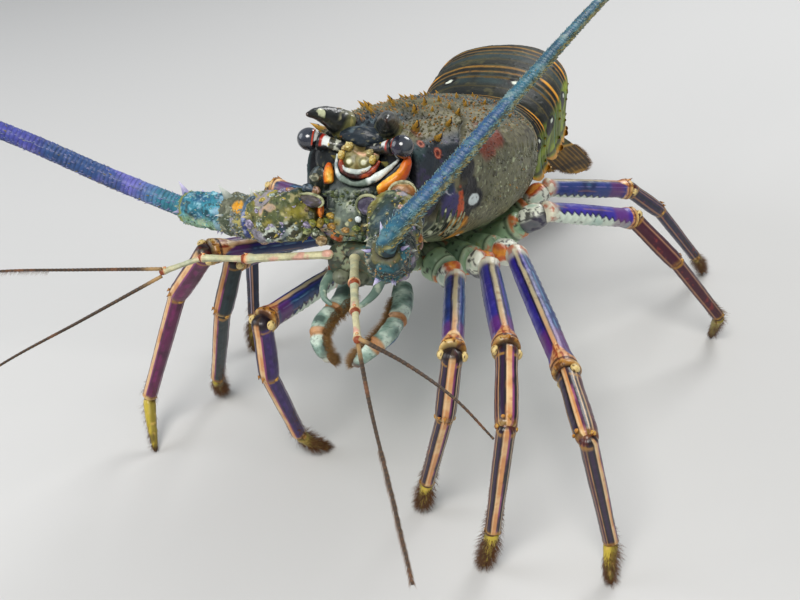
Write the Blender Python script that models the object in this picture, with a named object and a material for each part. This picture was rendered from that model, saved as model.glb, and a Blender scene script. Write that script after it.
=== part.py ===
"""A Caribbean spiny lobster as a life-size still model, head raised on its ten walking legs.

Units are metres and +Z is up. The head faces -Y and the animal's left is +X.
The origin lies on the floor under the model. Sizes below are in millimetres
and are turned to metres by MM. A carapace length of 100 mm drives the rest.
"""
import math

import bpy
import numpy as np

MM = 0.001
GAP = 0.3            # gap between neighbouring plates
CL = 100.0           # carapace length
BODY_PITCH = 16.5    # head raised, degrees
BODY_HEIGHT = 112.4  # height of the front of the body axis above the floor
SHIFT = (141.2, -101.45, 0.0)   # from the head's own place to the middle of the model on the floor

for old in list(bpy.data.objects):
    bpy.data.objects.remove(old, do_unlink=True)

CP, SP = math.cos(math.radians(BODY_PITCH)), math.sin(math.radians(BODY_PITCH))


def V(*p):
    return np.array(p, float)


def body(x, y, z):
    """A point of the raised body, given along its own axes: x left, y to the rear, z up."""
    return V(x, y * CP + z * SP, BODY_HEIGHT - y * SP + z * CP)


def unit(a):
    a = np.asarray(a, float)
    return a / (np.linalg.norm(a) + 1e-12)


def curve_through(points, n):
    """n points evenly along a smooth curve through the given ones."""
    p = [np.asarray(q, float) for q in points]
    p = [2 * p[0] - p[1]] + p + [2 * p[-1] - p[-2]]
    out = []
    for i in range(1, len(p) - 2):
        for t in np.linspace(0, 1, 24, endpoint=False):
            a, b, c, d = p[i - 1], p[i], p[i + 1], p[i + 2]
            out.append(0.5 * (2 * b + (c - a) * t + (2 * a - 5 * b + 4 * c - d) * t * t + (3 * b - a - 3 * c + d) * t ** 3))
    out.append(p[-2])
    out = np.array(out)
    s = np.concatenate([[0], np.cumsum(np.linalg.norm(np.diff(out, axis=0), axis=1))])
    at = np.linspace(0, s[-1], n)
    return np.stack([np.interp(at, s, out[:, k]) for k in range(3)], 1)


def sampled(table, t):
    """Smooth value at t of a table {position: value}."""
    xs = sorted(table)
    ys = [table[x] for x in xs]
    t = min(max(t, xs[0]), xs[-1])
    for i in range(len(xs) - 1):
        if t <= xs[i + 1]:
            u = (t - xs[i]) / (xs[i + 1] - xs[i])
            u = u * u * (3 - 2 * u) * 0.5 + u * 0.5
            return ys[i] + (ys[i + 1] - ys[i]) * u
    return ys[-1]


def superellipse(n, power=2.0, start=0.0):
    """n (x, z) points round a unit superellipse, from the top, towards +x."""
    out = []
    for i in range(n):
        a = 2 * math.pi * (i + start) / n
        s, c = math.sin(a), math.cos(a)
        out.append((math.copysign(abs(s) ** (2 / power), s), math.copysign(abs(c) ** (2 / power), c)))
    return out


def material(name, colour, rough=0.45, metal=0.0):
    m = bpy.data.materials.get(name) or bpy.data.materials.new(name)
    m.use_nodes = True
    b = m.node_tree.nodes["Principled BSDF"]
    b.inputs["Base Color"].default_value = (*colour, 1)
    b.inputs["Roughness"].default_value = rough
    b.inputs["Metallic"].default_value = metal
    return m


SHELL = material("carapace_shell", (0.16, 0.17, 0.11))
HEAD = material("head_plate", (0.42, 0.38, 0.22))
HORN = material("horn_shell", (0.10, 0.10, 0.08), 0.4)
EYE = material("eye_cornea", (0.02, 0.02, 0.04), 0.12)
BLUE = material("antenna_shell", (0.10, 0.19, 0.34))
LEG = material("leg_shell", (0.12, 0.06, 0.22), 0.35)
TAIL = material("tail_shell", (0.20, 0.24, 0.07), 0.35)
FAN = material("tail_fan", (0.28, 0.20, 0.08), 0.5)
UNDER = material("underside", (0.45, 0.52, 0.38), 0.5)


def build(name, rings, mat, smooth=40, caps=(True, True)):
    """A closed solid through rings of the same number of points, with flat caps."""
    mesh = bpy.data.meshes.new(name)
    n, verts, faces = len(rings[0]), [], []
    for ring in rings:
        for p in ring:
            verts.append(tuple((np.asarray(p, float) + V(*SHIFT)) * MM))
    for i in range(len(rings) - 1):
        for j in range(n):
            k = (j + 1) % n
            faces.append((i * n + j, i * n + k, (i + 1) * n + k, (i + 1) * n + j))
    last = (len(rings) - 1) * n
    faces.append(tuple(range(n - 1, -1, -1)))
    faces.append(tuple(range(last, last + n)))
    mesh.from_pydata(verts, [], faces)
    mesh.update()
    # faces point outwards
    import bmesh
    bm = bmesh.new()
    bm.from_mesh(mesh)
    bmesh.ops.recalc_face_normals(bm, faces=bm.faces)
    if bm.calc_volume(signed=True) < 0:
        bmesh.ops.reverse_faces(bm, faces=bm.faces)
    bm.to_mesh(mesh)
    bm.free()
    mesh.shade_smooth()
    mesh.set_sharp_from_angle(angle=math.radians(smooth))
    mesh.materials.append(mat)
    obj = bpy.data.objects.new(name, mesh)
    bpy.context.scene.collection.objects.link(obj)
    return obj


def frames(path, side, ends=(None, None), along=None):
    """Two axes across the path at each point: the first lies near the given side direction."""
    path = np.asarray(path, float)
    t = np.gradient(path, axis=0) if along is None else along
    out = []
    for i in range(len(path)):
        d = unit(t[i])
        if i == 0 and ends[0] is not None:
            d = unit(ends[0])
        if i == len(path) - 1 and ends[1] is not None:
            d = unit(ends[1])
        a = unit(np.asarray(side, float) - d * np.dot(side, d))
        out.append((a, np.cross(d, a), d))
    return out


def limb(name, path, wide, deep, side, mat, n=8, power=2.2, floor=False, ends=(None, None), along=None):
    """A limb: rings of half-width wide and half-depth deep across the path."""
    shape = superellipse(n, power, 0.5)
    rings = []
    for p, w, h, (a, b, d) in zip(path, wide, deep, frames(path, side, ends, along)):
        rings.append([p + a * w * x + b * h * z for x, z in shape])
    if floor:      # the last ring is a small flat on the floor
        c = np.array(path[-1])
        rings[-1] = [V(c[0] + wide[-1] * x, c[1] + wide[-1] * z, 0.0) for x, z in shape]
        # keep the ring's turning sense the same as its neighbour's
        best, order = None, None
        for flip in (1, -1):
            for k in range(n):
                idx = [(flip * j + k) % n for j in range(n)]
                cost = sum(np.linalg.norm((rings[-1][idx[j]] - c) / wide[-1] - (rings[-2][j] - path[-2]) / wide[-2]) for j in range(n))
                if best is None or cost < best:
                    best, order = cost, idx
        rings[-1] = [rings[-1][j] for j in order]
        for ring in rings[:-1]:
            for p in ring:
                p[2] = max(p[2], 0.8)
    return build(name, rings, mat)


def bent(joints, sizes, before=None, after=None):
    """Stations of a jointed limb: path, radius, direction and widening in the bend at each ring.

    sizes holds, for each length between two joints, (fraction, radius) pairs; before and after are the
    neighbouring joints of the next pieces, so that both pieces end on the plane halfway through the bend."""
    path, rad, dirs, widen = [], [], [], []

    def turn(a, b, c):
        d0, d1 = unit(b - a), unit(c - b)
        half = math.acos(max(-1, min(1, float(np.dot(d0, d1))))) / 2
        return unit(d0 + d1), half

    n = len(joints)
    for k in range(n - 1):
        a, b = joints[k], joints[k + 1]
        d = unit(b - a)
        L = np.linalg.norm(b - a)
        lo, hi = 0.0, L
        prev = joints[k - 1] if k else before
        if prev is not None:
            m, half = turn(prev, a, b)
            r = sizes[k][0][1]
            lo = r * 1.12 * math.tan(half) + 0.9
            path.append(a + (m * GAP * 0.6 if k == 0 else 0)), rad.append(r), dirs.append(m), widen.append(min(1.35, 1 / math.cos(half)))
        nxt = joints[k + 2] if k < n - 2 else after
        if nxt is not None:
            m, half = turn(a, b, nxt)
            hi = L - (sizes[k][-1][1] * 1.12 * math.tan(half) + 0.9)
        for t, r in sizes[k]:
            path.append(a + d * (lo + (hi - lo) * t)), rad.append(r), dirs.append(d), widen.append(1.0)
        if k == n - 2 and nxt is not None:
            path.append(b - m * GAP * 0.6), rad.append(sizes[k][-1][1]), dirs.append(m), widen.append(min(1.35, 1 / math.cos(half)))
    return path, rad, dirs, widen


# ---------------------------------------------------------------- carapace
WIDTH = {-1: 19.5, 6: 22.5, 20: 27.5, 40: 31.0, 60: 33.0, 80: 32.5, 92: 30.5, 100: 28.0}
TOP = {-1: 14.6, 6: 16.2, 20: 18.0, 36: 19.4, 44: 18.4, 52: 19.8, 75: 20.6, 92: 19.8, 100: 18.4}
LOW = {-1: -18.0, 10: -23.0, 30: -27.0, 55: -27.0, 80: -24.0, 100: -18.0}


def carapace_point(y, v):
    """Surface point of the carapace at y along the body, v from 0 at the top round to 1."""
    a = 2 * math.pi * v
    s, c = math.sin(a), math.cos(a)
    w, t, b = sampled(WIDTH, y), sampled(TOP, y), sampled(LOW, y)
    x = w * math.copysign(abs(s) ** (2 / 2.25), s)
    if c >= 0:
        z = t * abs(c) ** (2 / 2.25)
    else:
        z = b * abs(c) ** (2 / 3.6)
        x = w * math.copysign(abs(s) ** (2 / 3.0), s) * (1 - 0.10 * abs(c) ** 2)
    return x, z


YS = [-1, 5, 12, 20, 28, 36, 40, 44, 48, 56, 65, 74, 83, 91, 96, 100]
rings = []
for y in YS:
    ring = []
    for j in range(26):
        v = (j + 0.5) / 26
        x, z = carapace_point(y, v)
        # the hind margin is scooped forwards over the first tail ring
        back = 3.5 * max(0, math.cos(2 * math.pi * v)) * ((y - 60) / 40 if y > 60 else 0)
        ring.append(body(x, y - back, z))
    rings.append(ring)
carapace = build("carapace", rings, SHELL, 50)

# the larger spines of the carapace, raised out of the nearest face
import bmesh
SPINES = [(14, 8, 5.5), (20, 12, 5.0), (8, 22, 4.5), (19, 24, 4.5), (26, 18, 4.5), (6, 36, 4.0), (17, 38, 4.0), (27, 34, 4.0),
          (5, 52, 3.2), (14, 54, 3.2), (24, 54, 3.2), (6, 68, 3.0), (16, 70, 3.0), (25, 72, 2.8), (7, 84, 2.6), (17, 86, 2.6)]
bm = bmesh.new()
bm.from_mesh(carapace.data)
bm.faces.ensure_lookup_table()
used = set()
for x0, y0, high in SPINES:
    for s in (1, -1):
        w = sampled(WIDTH, y0)
        v = math.asin(min(0.98, (x0 / w)) ** (2.25 / 2)) / (2 * math.pi)
        x, z = carapace_point(y0, v)
        at = (body(s * x, y0, z) + V(*SHIFT)) * MM
        face = min((f for f in bm.faces if len(f.verts) == 4 and f.index not in used and f.index >= 0),
                   key=lambda f: (f.calc_center_median().x - at[0]) ** 2 + (f.calc_center_median().y - at[1]) ** 2 + (f.calc_center_median().z - at[2]) ** 2)
        used.add(face.index)
        middle, out = face.calc_center_median(), face.normal.copy()
        inner = bmesh.ops.inset_individual(bm, faces=[face], thickness=0.0011, depth=0.0002)
        tip = bmesh.ops.poke(bm, faces=[face])["verts"][0]
        lean = body(0, -1, 0.6) - body(0, 0, 0)
        from mathutils import Vector
        tip.co = middle + (out * 0.8 + Vector(lean) * 0.55) * high * MM
bm.normal_update()
bm.to_mesh(carapace.data)
bm.free()

# ---------------------------------------------------------------- underside of the thorax
rings = []
for y, half, top, low in [(20, 8, -28, -36), (32, 10.5, -28.5, -38), (46, 13, -28.5, -38.5), (60, 15.5, -28, -38), (74, 17.5, -26.5, -36), (88, 18.5, -23, -31)]:
    rings.append([body(half * x, y, (top + low) / 2 + (top - low) / 2 * z) for x, z in superellipse(12, 3.5, 0.5)])
build("sternum", rings, UNDER)

# ---------------------------------------------------------------- face
rings = []
for y, half, top, low in [(-1.4, 9.5, 5.4, -19.5), (-5.5, 8.8, 4.2, -19.5), (-9.0, 8.2, -1.0, -19.0), (-11.8, 6.8, -8.0, -18.4)]:
    rings.append([body(half * x, y, (top + low) / 2 + (top - low) / 2 * z) for x, z in superellipse(14, 2.8, 0.5)])
build("antennular_plate", rings, HEAD)
rings = []
for y, half, top, low in [(12, 9.0, -27.2, -36.5), (5, 11.0, -25.0, -37.5), (-2, 10.5, -22.0, -36), (-7, 8.5, -21.2, -33), (-10, 5.5, -21.8, -28.5)]:
    rings.append([body(half * x, y, (top + low) / 2 + (top - low) / 2 * z) for x, z in superellipse(12, 2.6, 0.5)])
build("mouth_frame", rings, UNDER)

for s, side in ((1, "left"), (-1, "right")):
    # the large horn over each eye
    path = curve_through([body(s * 8.5, -1.5, 15.6), body(s * 10.2, -5.6, 17.3), body(s * 11.8, -9.8, 18.2), body(s * 13.3, -14.0, 18.1)], 9)
    t = np.linspace(0, 1, 9)
    limb(f"horn_{side}", path, 3.3 * (1 - t) ** 0.75 + 0.35, 3.9 * (1 - t) ** 0.75 + 0.4, body(1, 0, 0) - body(0, 0, 0), HORN, 10, ends=(body(0, -1, 0) - body(0, 0, 0), None))
    # eye stalk and eye
    path = curve_through([body(s * 4.0, -4.2, 8.2), body(s * 8.0, -5.3, 8.6), body(s * 11.5, -6.0, 9.2)], 5)
    limb(f"eyestalk_{side}", path, [1.9, 2.1, 2.3, 2.5, 2.8], [1.9, 2.0, 2.2, 2.4, 2.7], body(0, 1, 0) - body(0, 0, 0), HORN, 8)
    c, axis = body(s * 15.7, -7.0, 9.9), unit(body(s * 1, -0.35, 0.1) - body(0, 0, 0))
    pts = [c + axis * 3.85 * math.cos(a) for a in np.linspace(math.pi * 0.92, 0.0, 9)]
    rad = [3.65 * max(0.06, math.sin(a)) for a in np.linspace(math.pi * 0.92, 0.0, 9)]
    limb(f"eye_{side}", pts, rad, rad, V(0, 0, 1), EYE, 12, 2.0)

# ---------------------------------------------------------------- antennae
PEDUNCLE = {
    "right": [body(-15.8, -12.4, -13.2), V(-32.0, -15.0, 99.9), V(-43.5, -14.0, 99.8), V(-61.5, -13.0, 99.8)],
    "left": [body(16.8, -12.4, -9.0), V(22.0, -29.0, 102.6), V(25.2, -39.6, 104.2), V(27.5, -46.3, 111.6)],
}
FLAGELLUM = {
    "right": [V(-61.5, -13.0, 99.8), V(-66.5, -13.2, 101.2), V(-88, -16.5, 110), V(-115, -27.0, 127), V(-160, -46, 152), V(-230, -76, 182), V(-310, -100, 200), V(-385, -112, 206)],
    "left": [V(27.5, -46.3, 111.6), V(28.8, -46.6, 114.9), V(30.0, -42.5, 117.2), V(31.0, -33.5, 118.0), V(32.2, -15.5, 119.0), V(34.2, 8.0, 121.6), V(39.0, 45.0, 127.5), V(50.0, 112.0, 139.5), V(66, 215, 151), V(88, 325, 153)],
}
for side, joints in PEDUNCLE.items():
    sizes = [[(0.0, 7.4), (0.15, 8.3), (0.55, 7.9), (0.85, 7.9), (1.0, 7.0)], [(0.0, 6.2), (0.25, 6.8), (0.75, 6.6), (1.0, 6.0)],
             [(0.0, 5.4), (0.2, 6.0), (0.6, 5.7), (0.9, 5.6), (1.0, 4.6)]]
    tip = FLAGELLUM[side][1]
    for k, part in enumerate(("base", "middle", "last")):
        path, rad, dirs, widen = bent(joints[k:k + 2], [sizes[k]], before=joints[k - 1] if k else None, after=joints[k + 2] if k < 2 else tip)
        if k:
            path[0] = path[0] + dirs[0] * GAP * 0.6
        limb(f"antenna_{side}_{part}", path, rad, rad, V(0, 0, 1), BLUE, 12, 2.4, along=dirs)
    path = curve_through(FLAGELLUM[side], 61)
    rad = (3.0 if side == "right" else 2.5) * (1 - np.linspace(0, 1, 61)) ** 0.85 + 0.35
    path[0] = path[0] + unit(path[1] - path[0]) * GAP
    cut = 26
    keep = [k for k in range(61) if k < 10 or k % 4 == 2 or k in (26, 60)]
    for part, lo, hi in (("inner", 0, cut), ("outer", cut, 60)):
        p = [path[k].copy() for k in keep if lo <= k <= hi]
        r = [rad[k] for k in keep if lo <= k <= hi]
        if part == "outer":
            p[0] = p[0] + unit(p[1] - p[0]) * GAP
        limb(f"antenna_{side}_flagellum_{part}", p, r, r, V(0, 0, 1), BLUE, 8, 2.0, ends=((unit(joints[3] - joints[2]) + unit(tip - joints[3])) if part == "inner" else None, None))

# ---------------------------------------------------------------- antennules
ANTENNULE = {
    "right": ([body(-3.6, -12.6, -24.5), V(-35.0, -21.5, 88.0), V(-49.5, -24.5, 88.0), V(-59.5, -33.0, 86.0)],
              [[V(-60.4, -33.6, 87.2), V(-88, -41, 87), V(-115, -47, 86), V(-142, -52, 82)],
               [V(-60.6, -34.0, 84.2), V(-82, -50, 74), V(-105, -66, 63), V(-126, -84, 50)]]),
    "left": ([body(3.6, -12.6, -24.5), V(15.0, -43.0, 97.5), V(21.5, -56.5, 97.0), V(27.4, -68.0, 96.0)],
             [[V(28.2, -69.4, 94.6), V(38, -85, 87), V(51, -104, 78), V(63, -122, 70)],
              [V(29.4, -69.0, 96.8), V(44, -74, 95), V(58, -78, 90), V(69, -81, 82)]]),
}
for side, (joints, whips) in ANTENNULE.items():
    path, wide = [], []
    for k in range(3):
        a, b = joints[k], joints[k + 1]
        for t, f in ((0.03, 0.8), (0.12, 1.0), (0.5, 0.86), (0.86, 0.98), (0.97, 1.15)):
            path.append(a + (b - a) * t)
            wide.append([1.62, 1.42, 1.15][k] * f)
    limb(f"antennule_{side}", path, wide, wide, V(0, 0, 1), HEAD, 8, 2.0)
    for whip, part in zip(whips, ("outer", "inner")):
        p = curve_through(whip, 12)
        r = np.linspace(0.62, 0.3, 12)
        limb(f"antennule_{side}_flagellum_{part}", p, r, r, V(0, 0, 1), HORN, 6, 2.0)

# ---------------------------------------------------------------- third maxillipeds
for s, side in ((1, "left"), (-1, "right")):
    tuck = 1.0 if s > 0 else 0.62
    path = curve_through([body(s * 9.5, 13, -38.5), body(s * 13 * tuck, 4, -43.5), body(s * 14.5 * tuck, -8, -48), body(s * 12 * tuck, -15, -52), body(s * 7.0 * tuck, -15.5, -57), body(s * 4.5, -10, -60)], 12)
    limb(f"maxilliped_{side}", path, [3.2, 3.6, 3.6, 3.4, 3.2, 2.9, 3.1, 2.8, 2.5, 2.2, 1.6, 0.8], [3.0, 3.2, 3.2, 3.0, 2.8, 2.6, 2.7, 2.4, 2.1, 1.8, 1.3, 0.7], V(1, 0, 0), UNDER, 8)

# ---------------------------------------------------------------- walking legs
# base on the sternum (body axes), then the joints: merus base, knee, wrist, ankle, tip
LEGS = {
    "left_1": ((13.5, 30, -33), [V(23, 15, 70), V(39, -31, 70), V(36, -33, 48), V(25, -26, 14), V(21, -24, 0)]),
    "left_2": ((16.0, 43, -33), [V(31, 26, 70), V(54, -25, 70), V(61, -48, 60), V(54, -44, 16), V(50, -44, 0)]),
    "left_3": ((18.5, 56, -33), [V(36, 40, 69), V(71, -18, 60), V(83.5, -44, 58), V(88.5, -33.5, 12), V(90, -39, 0)]),
    "left_4": ((20.0, 70, -32.5), [V(41, 59, 76), V(66, 97, 58), V(84, 96, 41), V(100.5, 105, 14), V(97, 111, 0)]),
    "left_5": ((21.0, 84, -30), [V(34, 83, 74), V(60, 117, 61), V(70, 131, 46), V(83, 154, 14), V(85, 165, 0)]),
    "right_1": ((-13.5, 30, -33), [V(-24, 17, 63), V(-28, -28, 69), V(-30, -26, 46), V(-30, -13, 12), V(-24, -3, 0)]),
    "right_2": ((-16.0, 43, -33), [V(-31, 33, 71), V(-55, -14, 84), V(-73, -11, 63), V(-93, -15, 17), V(-87, -25, 0)]),
    "right_3": ((-18.5, 56, -33), [V(-36, 45, 68), V(-54, 0, 74), V(-61, -3, 53), V(-77, 8, 14), V(-82, 18, 0)]),
    "right_4": ((-20.0, 70, -32.5), [V(-38, 60, 68), V(-83, 80, 64), V(-92, 70, 44), V(-88, 56, 12), V(-85, 48, 0)]),
    "right_5": ((-21.0, 84, -30), [V(-34, 83, 72), V(-60, 119, 68), V(-71, 132, 50), V(-84, 148, 14), V(-86, 158, 0)]),
}
for name, (base, (A, K1, K2, K3, T)) in LEGS.items():
    root = body(*base)
    grow = {"1": 1.0, "2": 1.02, "3": 1.0, "4": 0.95, "5": 0.9}[name[-1]]
    side = unit(np.cross(K1 - A, K2 - K1) * (1 if name[0] == "l" else -1))
    # coxa, ischium and merus
    start = root + unit(A - root) * 2.0
    path, rad, dirs, widen = bent([start, A, K1], [[(0.0, 5.6), (0.3, 5.9), (0.5, 5.2), (0.62, 4.6), (1.0, 4.5)],
                                                   [(0.0, 3.9), (0.07, 3.6), (0.45, 3.75), (0.88, 3.7), (0.97, 4.3), (1.0, 3.9)]], after=K2)
    limb(f"leg_{name}_upper", path, [r * grow for r in rad], [r * grow * w for r, w in zip(rad, widen)], side, LEG, 8, along=dirs)
    # carpus, propodus and dactyl
    path, rad, dirs, widen = bent([K1, K2, K3, T], [[(0.0, 3.7), (0.3, 3.4), (0.8, 3.5), (1.0, 3.5)],
                                                    [(0.0, 3.1), (0.3, 2.9), (0.7, 2.6), (1.0, 2.5)],
                                                    [(0.0, 2.3), (0.4, 2.0), (0.82, 1.5), (1.0, 1.3)]], before=A)
    limb(f"leg_{name}_lower", path, [r * grow for r in rad[:-1]] + [1.3], [r * grow * w for r, w in zip(rad[:-1], widen)] + [1.3], side, LEG, 8, 2.2, True, along=dirs)

# ---------------------------------------------------------------- tail (abdomen)
SEGMENTS = [  # length, half width, height above and below the middle, pitch down, turn to the right
    (11.0, 26.0, 16.5, 16.0, -10.0, 1.0),
    (22.0, 28.5, 18.0, 22.0, -9.0, 4.0),
    (21.0, 28.8, 18.5, 22.5, -1.0, 8.0),
    (20.0, 28.3, 18.0, 22.0, 14.0, 12.0),
    (19.0, 26.8, 17.0, 20.5, 31.0, 15.0),
    (21.0, 24.5, 15.0, 16.0, 47.0, 17.0),
]


def axes(pitch, turn):
    """Forward-to-rear, left and up directions of a tail ring."""
    p, t = math.radians(pitch), math.radians(turn)
    along = V(-math.sin(t) * math.cos(p), math.cos(t) * math.cos(p), -math.sin(p))
    left = V(math.cos(t), math.sin(t), 0)
    return along, left, np.cross(left, along)


def tail_section(half, high, low, sweep):
    """(x, z, back) of a ring: a domed roof whose sides end in backward points, and a flat underside."""
    out = []
    for i in range(15):
        a = math.radians(-118 + 236 * i / 14)
        x = half * math.copysign(abs(math.sin(a)) ** 0.86, math.sin(a))
        z = high * math.cos(a) if abs(a) < math.pi / 2 else high * math.cos(a) * 0.9
        out.append([x, z, 0.0])
    for k, s in ((0, -1), (14, 1)):
        out[k] = [s * half * 0.96, -low, sweep]
    for x in (0.78, 0.0, -0.78):      # the underside lies at the lower edge of the swimming legs
        out.append([half * x, -low + 3.2, 0.0])
    return out


JOINTS = []
centre = body(0, 102.6, -1.6)
for k, (length, half, high, low, pitch, turn) in enumerate(SEGMENTS):
    before = SEGMENTS[max(k - 1, 0)]
    JOINTS.append((centre, (pitch + before[4]) / 2 if k else BODY_PITCH - 3.5, (turn + before[5]) / 2, (half + before[1]) / 2, (high + before[2]) / 2, (low + before[3]) / 2))
    centre = centre + axes(pitch, turn)[0] * length
JOINTS.append((centre, SEGMENTS[-1][4] + 2, SEGMENTS[-1][5] + 2, 21.0, 11.0, 11.0))
for k in range(6):
    first, last = JOINTS[k], JOINTS[k + 1]
    rings = []
    for t in (0.0, 0.06, 0.4, 0.75, 1.0):
        c, pitch, turn, half, high, low = (a + (b - a) * t for a, b in zip(first, last))
        along, left, up = axes(pitch, turn)
        c = c + along * ((t == 0.0) - (t == 1.0)) * GAP / 2
        swell = 1.0 - 0.05 * (t == 0.0) + 0.02 * math.sin(math.pi * t)
        depth = low * (0.66 + 0.34 * math.sin(math.pi * (0.12 + 0.62 * t)))
        rings.append([c + left * x * swell + up * z * swell + along * b for x, z, b in tail_section(half, high, depth, 4.0)])
    build(f"abdomen_{k + 1}", rings, TAIL, 50)

# ---------------------------------------------------------------- tail fan
along, left, up = axes(52, 18)


def blade(name, root, out, length, widths, thick, mat):
    """A flat blade with rounded end, swept out by the given angle."""
    c, s = math.cos(math.radians(out)), math.sin(math.radians(out))
    d, w = along * c + left * s, left * c - along * s
    rings = []
    for i, (t, half) in enumerate(widths):
        p = root + d * length * t - up * 3.0 * t * t
        th = thick * (1 - 0.55 * t) / 2
        rings.append([p + w * half * x + up * th * z + up * 1.2 * (1 - x * x) for x, z in superellipse(12, 2.6, 0.5)])
    build(name, rings, mat)


hub = centre + along * 1.6 - up * 1.0
TEL = [(0.0, 8.5), (0.15, 9.6), (0.45, 9.2), (0.75, 10.2), (0.92, 8.6), (1.0, 4.5)]
URO = [(0.0, 3.2), (0.12, 5.4), (0.35, 8.4), (0.65, 10.2), (0.88, 8.2), (1.0, 3.6)]
blade("telson", hub, 0, 50, TEL, 3.2, FAN)
for s, side in ((1, "left"), (-1, "right")):
    blade(f"uropod_inner_{side}", hub + left * s * 8.0 - up * 4.2, s * 14, 47, URO, 2.4, FAN)
    blade(f"uropod_outer_{side}", hub + left * s * 12.0 - up * 7.6, s * 31, 47, URO, 2.4, FAN)
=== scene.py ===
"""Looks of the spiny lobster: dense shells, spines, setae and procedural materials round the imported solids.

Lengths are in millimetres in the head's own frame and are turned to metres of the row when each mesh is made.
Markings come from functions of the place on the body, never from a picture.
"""
import math

import bpy
import numpy as np
from mathutils import Matrix, Vector


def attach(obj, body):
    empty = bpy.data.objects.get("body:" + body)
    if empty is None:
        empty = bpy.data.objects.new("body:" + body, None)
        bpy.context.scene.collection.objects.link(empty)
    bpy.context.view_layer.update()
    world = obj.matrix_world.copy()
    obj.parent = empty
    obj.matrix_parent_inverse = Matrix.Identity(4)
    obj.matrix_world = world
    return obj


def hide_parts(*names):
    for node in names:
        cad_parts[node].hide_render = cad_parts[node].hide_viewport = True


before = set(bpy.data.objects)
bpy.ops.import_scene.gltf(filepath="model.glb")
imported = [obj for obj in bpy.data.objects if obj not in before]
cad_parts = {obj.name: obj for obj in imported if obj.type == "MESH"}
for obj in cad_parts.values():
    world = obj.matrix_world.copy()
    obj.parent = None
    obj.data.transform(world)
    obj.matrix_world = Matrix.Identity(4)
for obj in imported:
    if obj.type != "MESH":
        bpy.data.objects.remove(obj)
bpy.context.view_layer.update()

MM = 0.001
SHIFT = np.array([141.2, -101.45, 0.0])
BODY_PITCH, BODY_HEIGHT = 16.5, 112.4
CP, SP = math.cos(math.radians(BODY_PITCH)), math.sin(math.radians(BODY_PITCH))
TAU = 2 * math.pi


# ------------------------------------------------------------------ small tools
def V(*p):
    return np.array(p, float)


def body(x, y, z):
    """Body axes (x left, y to the rear, z up) to the model's own frame, mm. Works on arrays."""
    x, y, z = np.broadcast_arrays(np.asarray(x, float), np.asarray(y, float), np.asarray(z, float))
    return np.stack([x, y * CP + z * SP, BODY_HEIGHT - y * SP + z * CP], -1)


def bdir(x, y, z):
    return body(x, y, z) - body(0, 0, 0)


def unit(a):
    a = np.asarray(a, float)
    return a / (np.linalg.norm(a, axis=-1, keepdims=True) + 1e-12)


def C(h):
    """sRGB hex to linear colour."""
    c = np.array([int(h[i:i + 2], 16) / 255 for i in (0, 2, 4)])
    return np.where(c <= 0.04045, c / 12.92, ((c + 0.055) / 1.055) ** 2.4)


def smooth(x, a, b):
    t = np.clip((np.asarray(x, float) - a) / (b - a), 0, 1)
    return t * t * (3 - 2 * t)


def band(x, centre, half, soft):
    """1 inside centre +- half, fading to 0 over soft."""
    return 1 - smooth(np.abs(np.asarray(x, float) - centre), half, half + soft)


def paint(base, colour, m):
    m = np.asarray(m, float)[..., None]
    return base * (1 - m) + np.asarray(colour, float) * m


def flat(colour, shape):
    return np.broadcast_to(np.asarray(colour, float), tuple(shape) + (3,)).copy()


def hash3(i, j, k, seed):
    h = (i.astype(np.int64) * 374761393 + j.astype(np.int64) * 668265263 + k.astype(np.int64) * 2147483647 + seed * 144665) & 0xFFFFFFFF
    h = ((h ^ (h >> 13)) * 1274126177) & 0xFFFFFFFF
    h = (h ^ (h >> 16)) & 0xFFFFFFFF
    h = (h * 2246822519) & 0xFFFFFFFF
    return ((h ^ (h >> 15)) & 0xFFFFFF) / float(0xFFFFFF)


def vnoise(p, seed=0):
    """Smooth value noise in -1..1 of points in cells."""
    p = np.asarray(p, float) + 1000.0
    f = np.floor(p)
    u = p - f
    u = u * u * (3 - 2 * u)
    i = f.astype(np.int64)
    out = 0
    for dx in (0, 1):
        for dy in (0, 1):
            for dz in (0, 1):
                w = (u[..., 0] if dx else 1 - u[..., 0]) * (u[..., 1] if dy else 1 - u[..., 1]) * (u[..., 2] if dz else 1 - u[..., 2])
                out = out + w * hash3(i[..., 0] + dx, i[..., 1] + dy, i[..., 2] + dz, seed)
    return out * 2 - 1


def fbm(p, cell, octaves=3, seed=0):
    """Layered noise of points in mm, largest feature about one cell."""
    out, amp, tot = 0, 1.0, 0.0
    for o in range(octaves):
        out = out + amp * vnoise(np.asarray(p) / (cell / 2 ** o), seed + o * 17)
        tot += amp
        amp *= 0.5
    return out / tot


def curve_through(points, n):
    p = [np.asarray(q, float) for q in points]
    p = [2 * p[0] - p[1]] + p + [2 * p[-1] - p[-2]]
    out = []
    for i in range(1, len(p) - 2):
        for t in np.linspace(0, 1, 40, endpoint=False):
            a, b, c, d = p[i - 1], p[i], p[i + 1], p[i + 2]
            out.append(0.5 * (2 * b + (c - a) * t + (2 * a - 5 * b + 4 * c - d) * t * t + (3 * b - a - 3 * c + d) * t ** 3))
    out.append(p[-2])
    out = np.array(out)
    s = np.concatenate([[0], np.cumsum(np.linalg.norm(np.diff(out, axis=0), axis=1))])
    at = np.linspace(0, s[-1], n)
    return np.stack([np.interp(at, s, out[:, k]) for k in range(3)], 1)


def table(tab, t):
    """Smooth interpolation in a {position: value} table, for arrays."""
    xs = np.array(sorted(tab), float)
    ys = np.array([tab[x] for x in sorted(tab)], float)
    t = np.clip(np.asarray(t, float), xs[0], xs[-1])
    i = np.clip(np.searchsorted(xs, t, side="right") - 1, 0, len(xs) - 2)
    u = (t - xs[i]) / (xs[i + 1] - xs[i])
    u = u * u * (3 - 2 * u) * 0.5 + u * 0.5
    return ys[i] + (ys[i + 1] - ys[i]) * u


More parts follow.
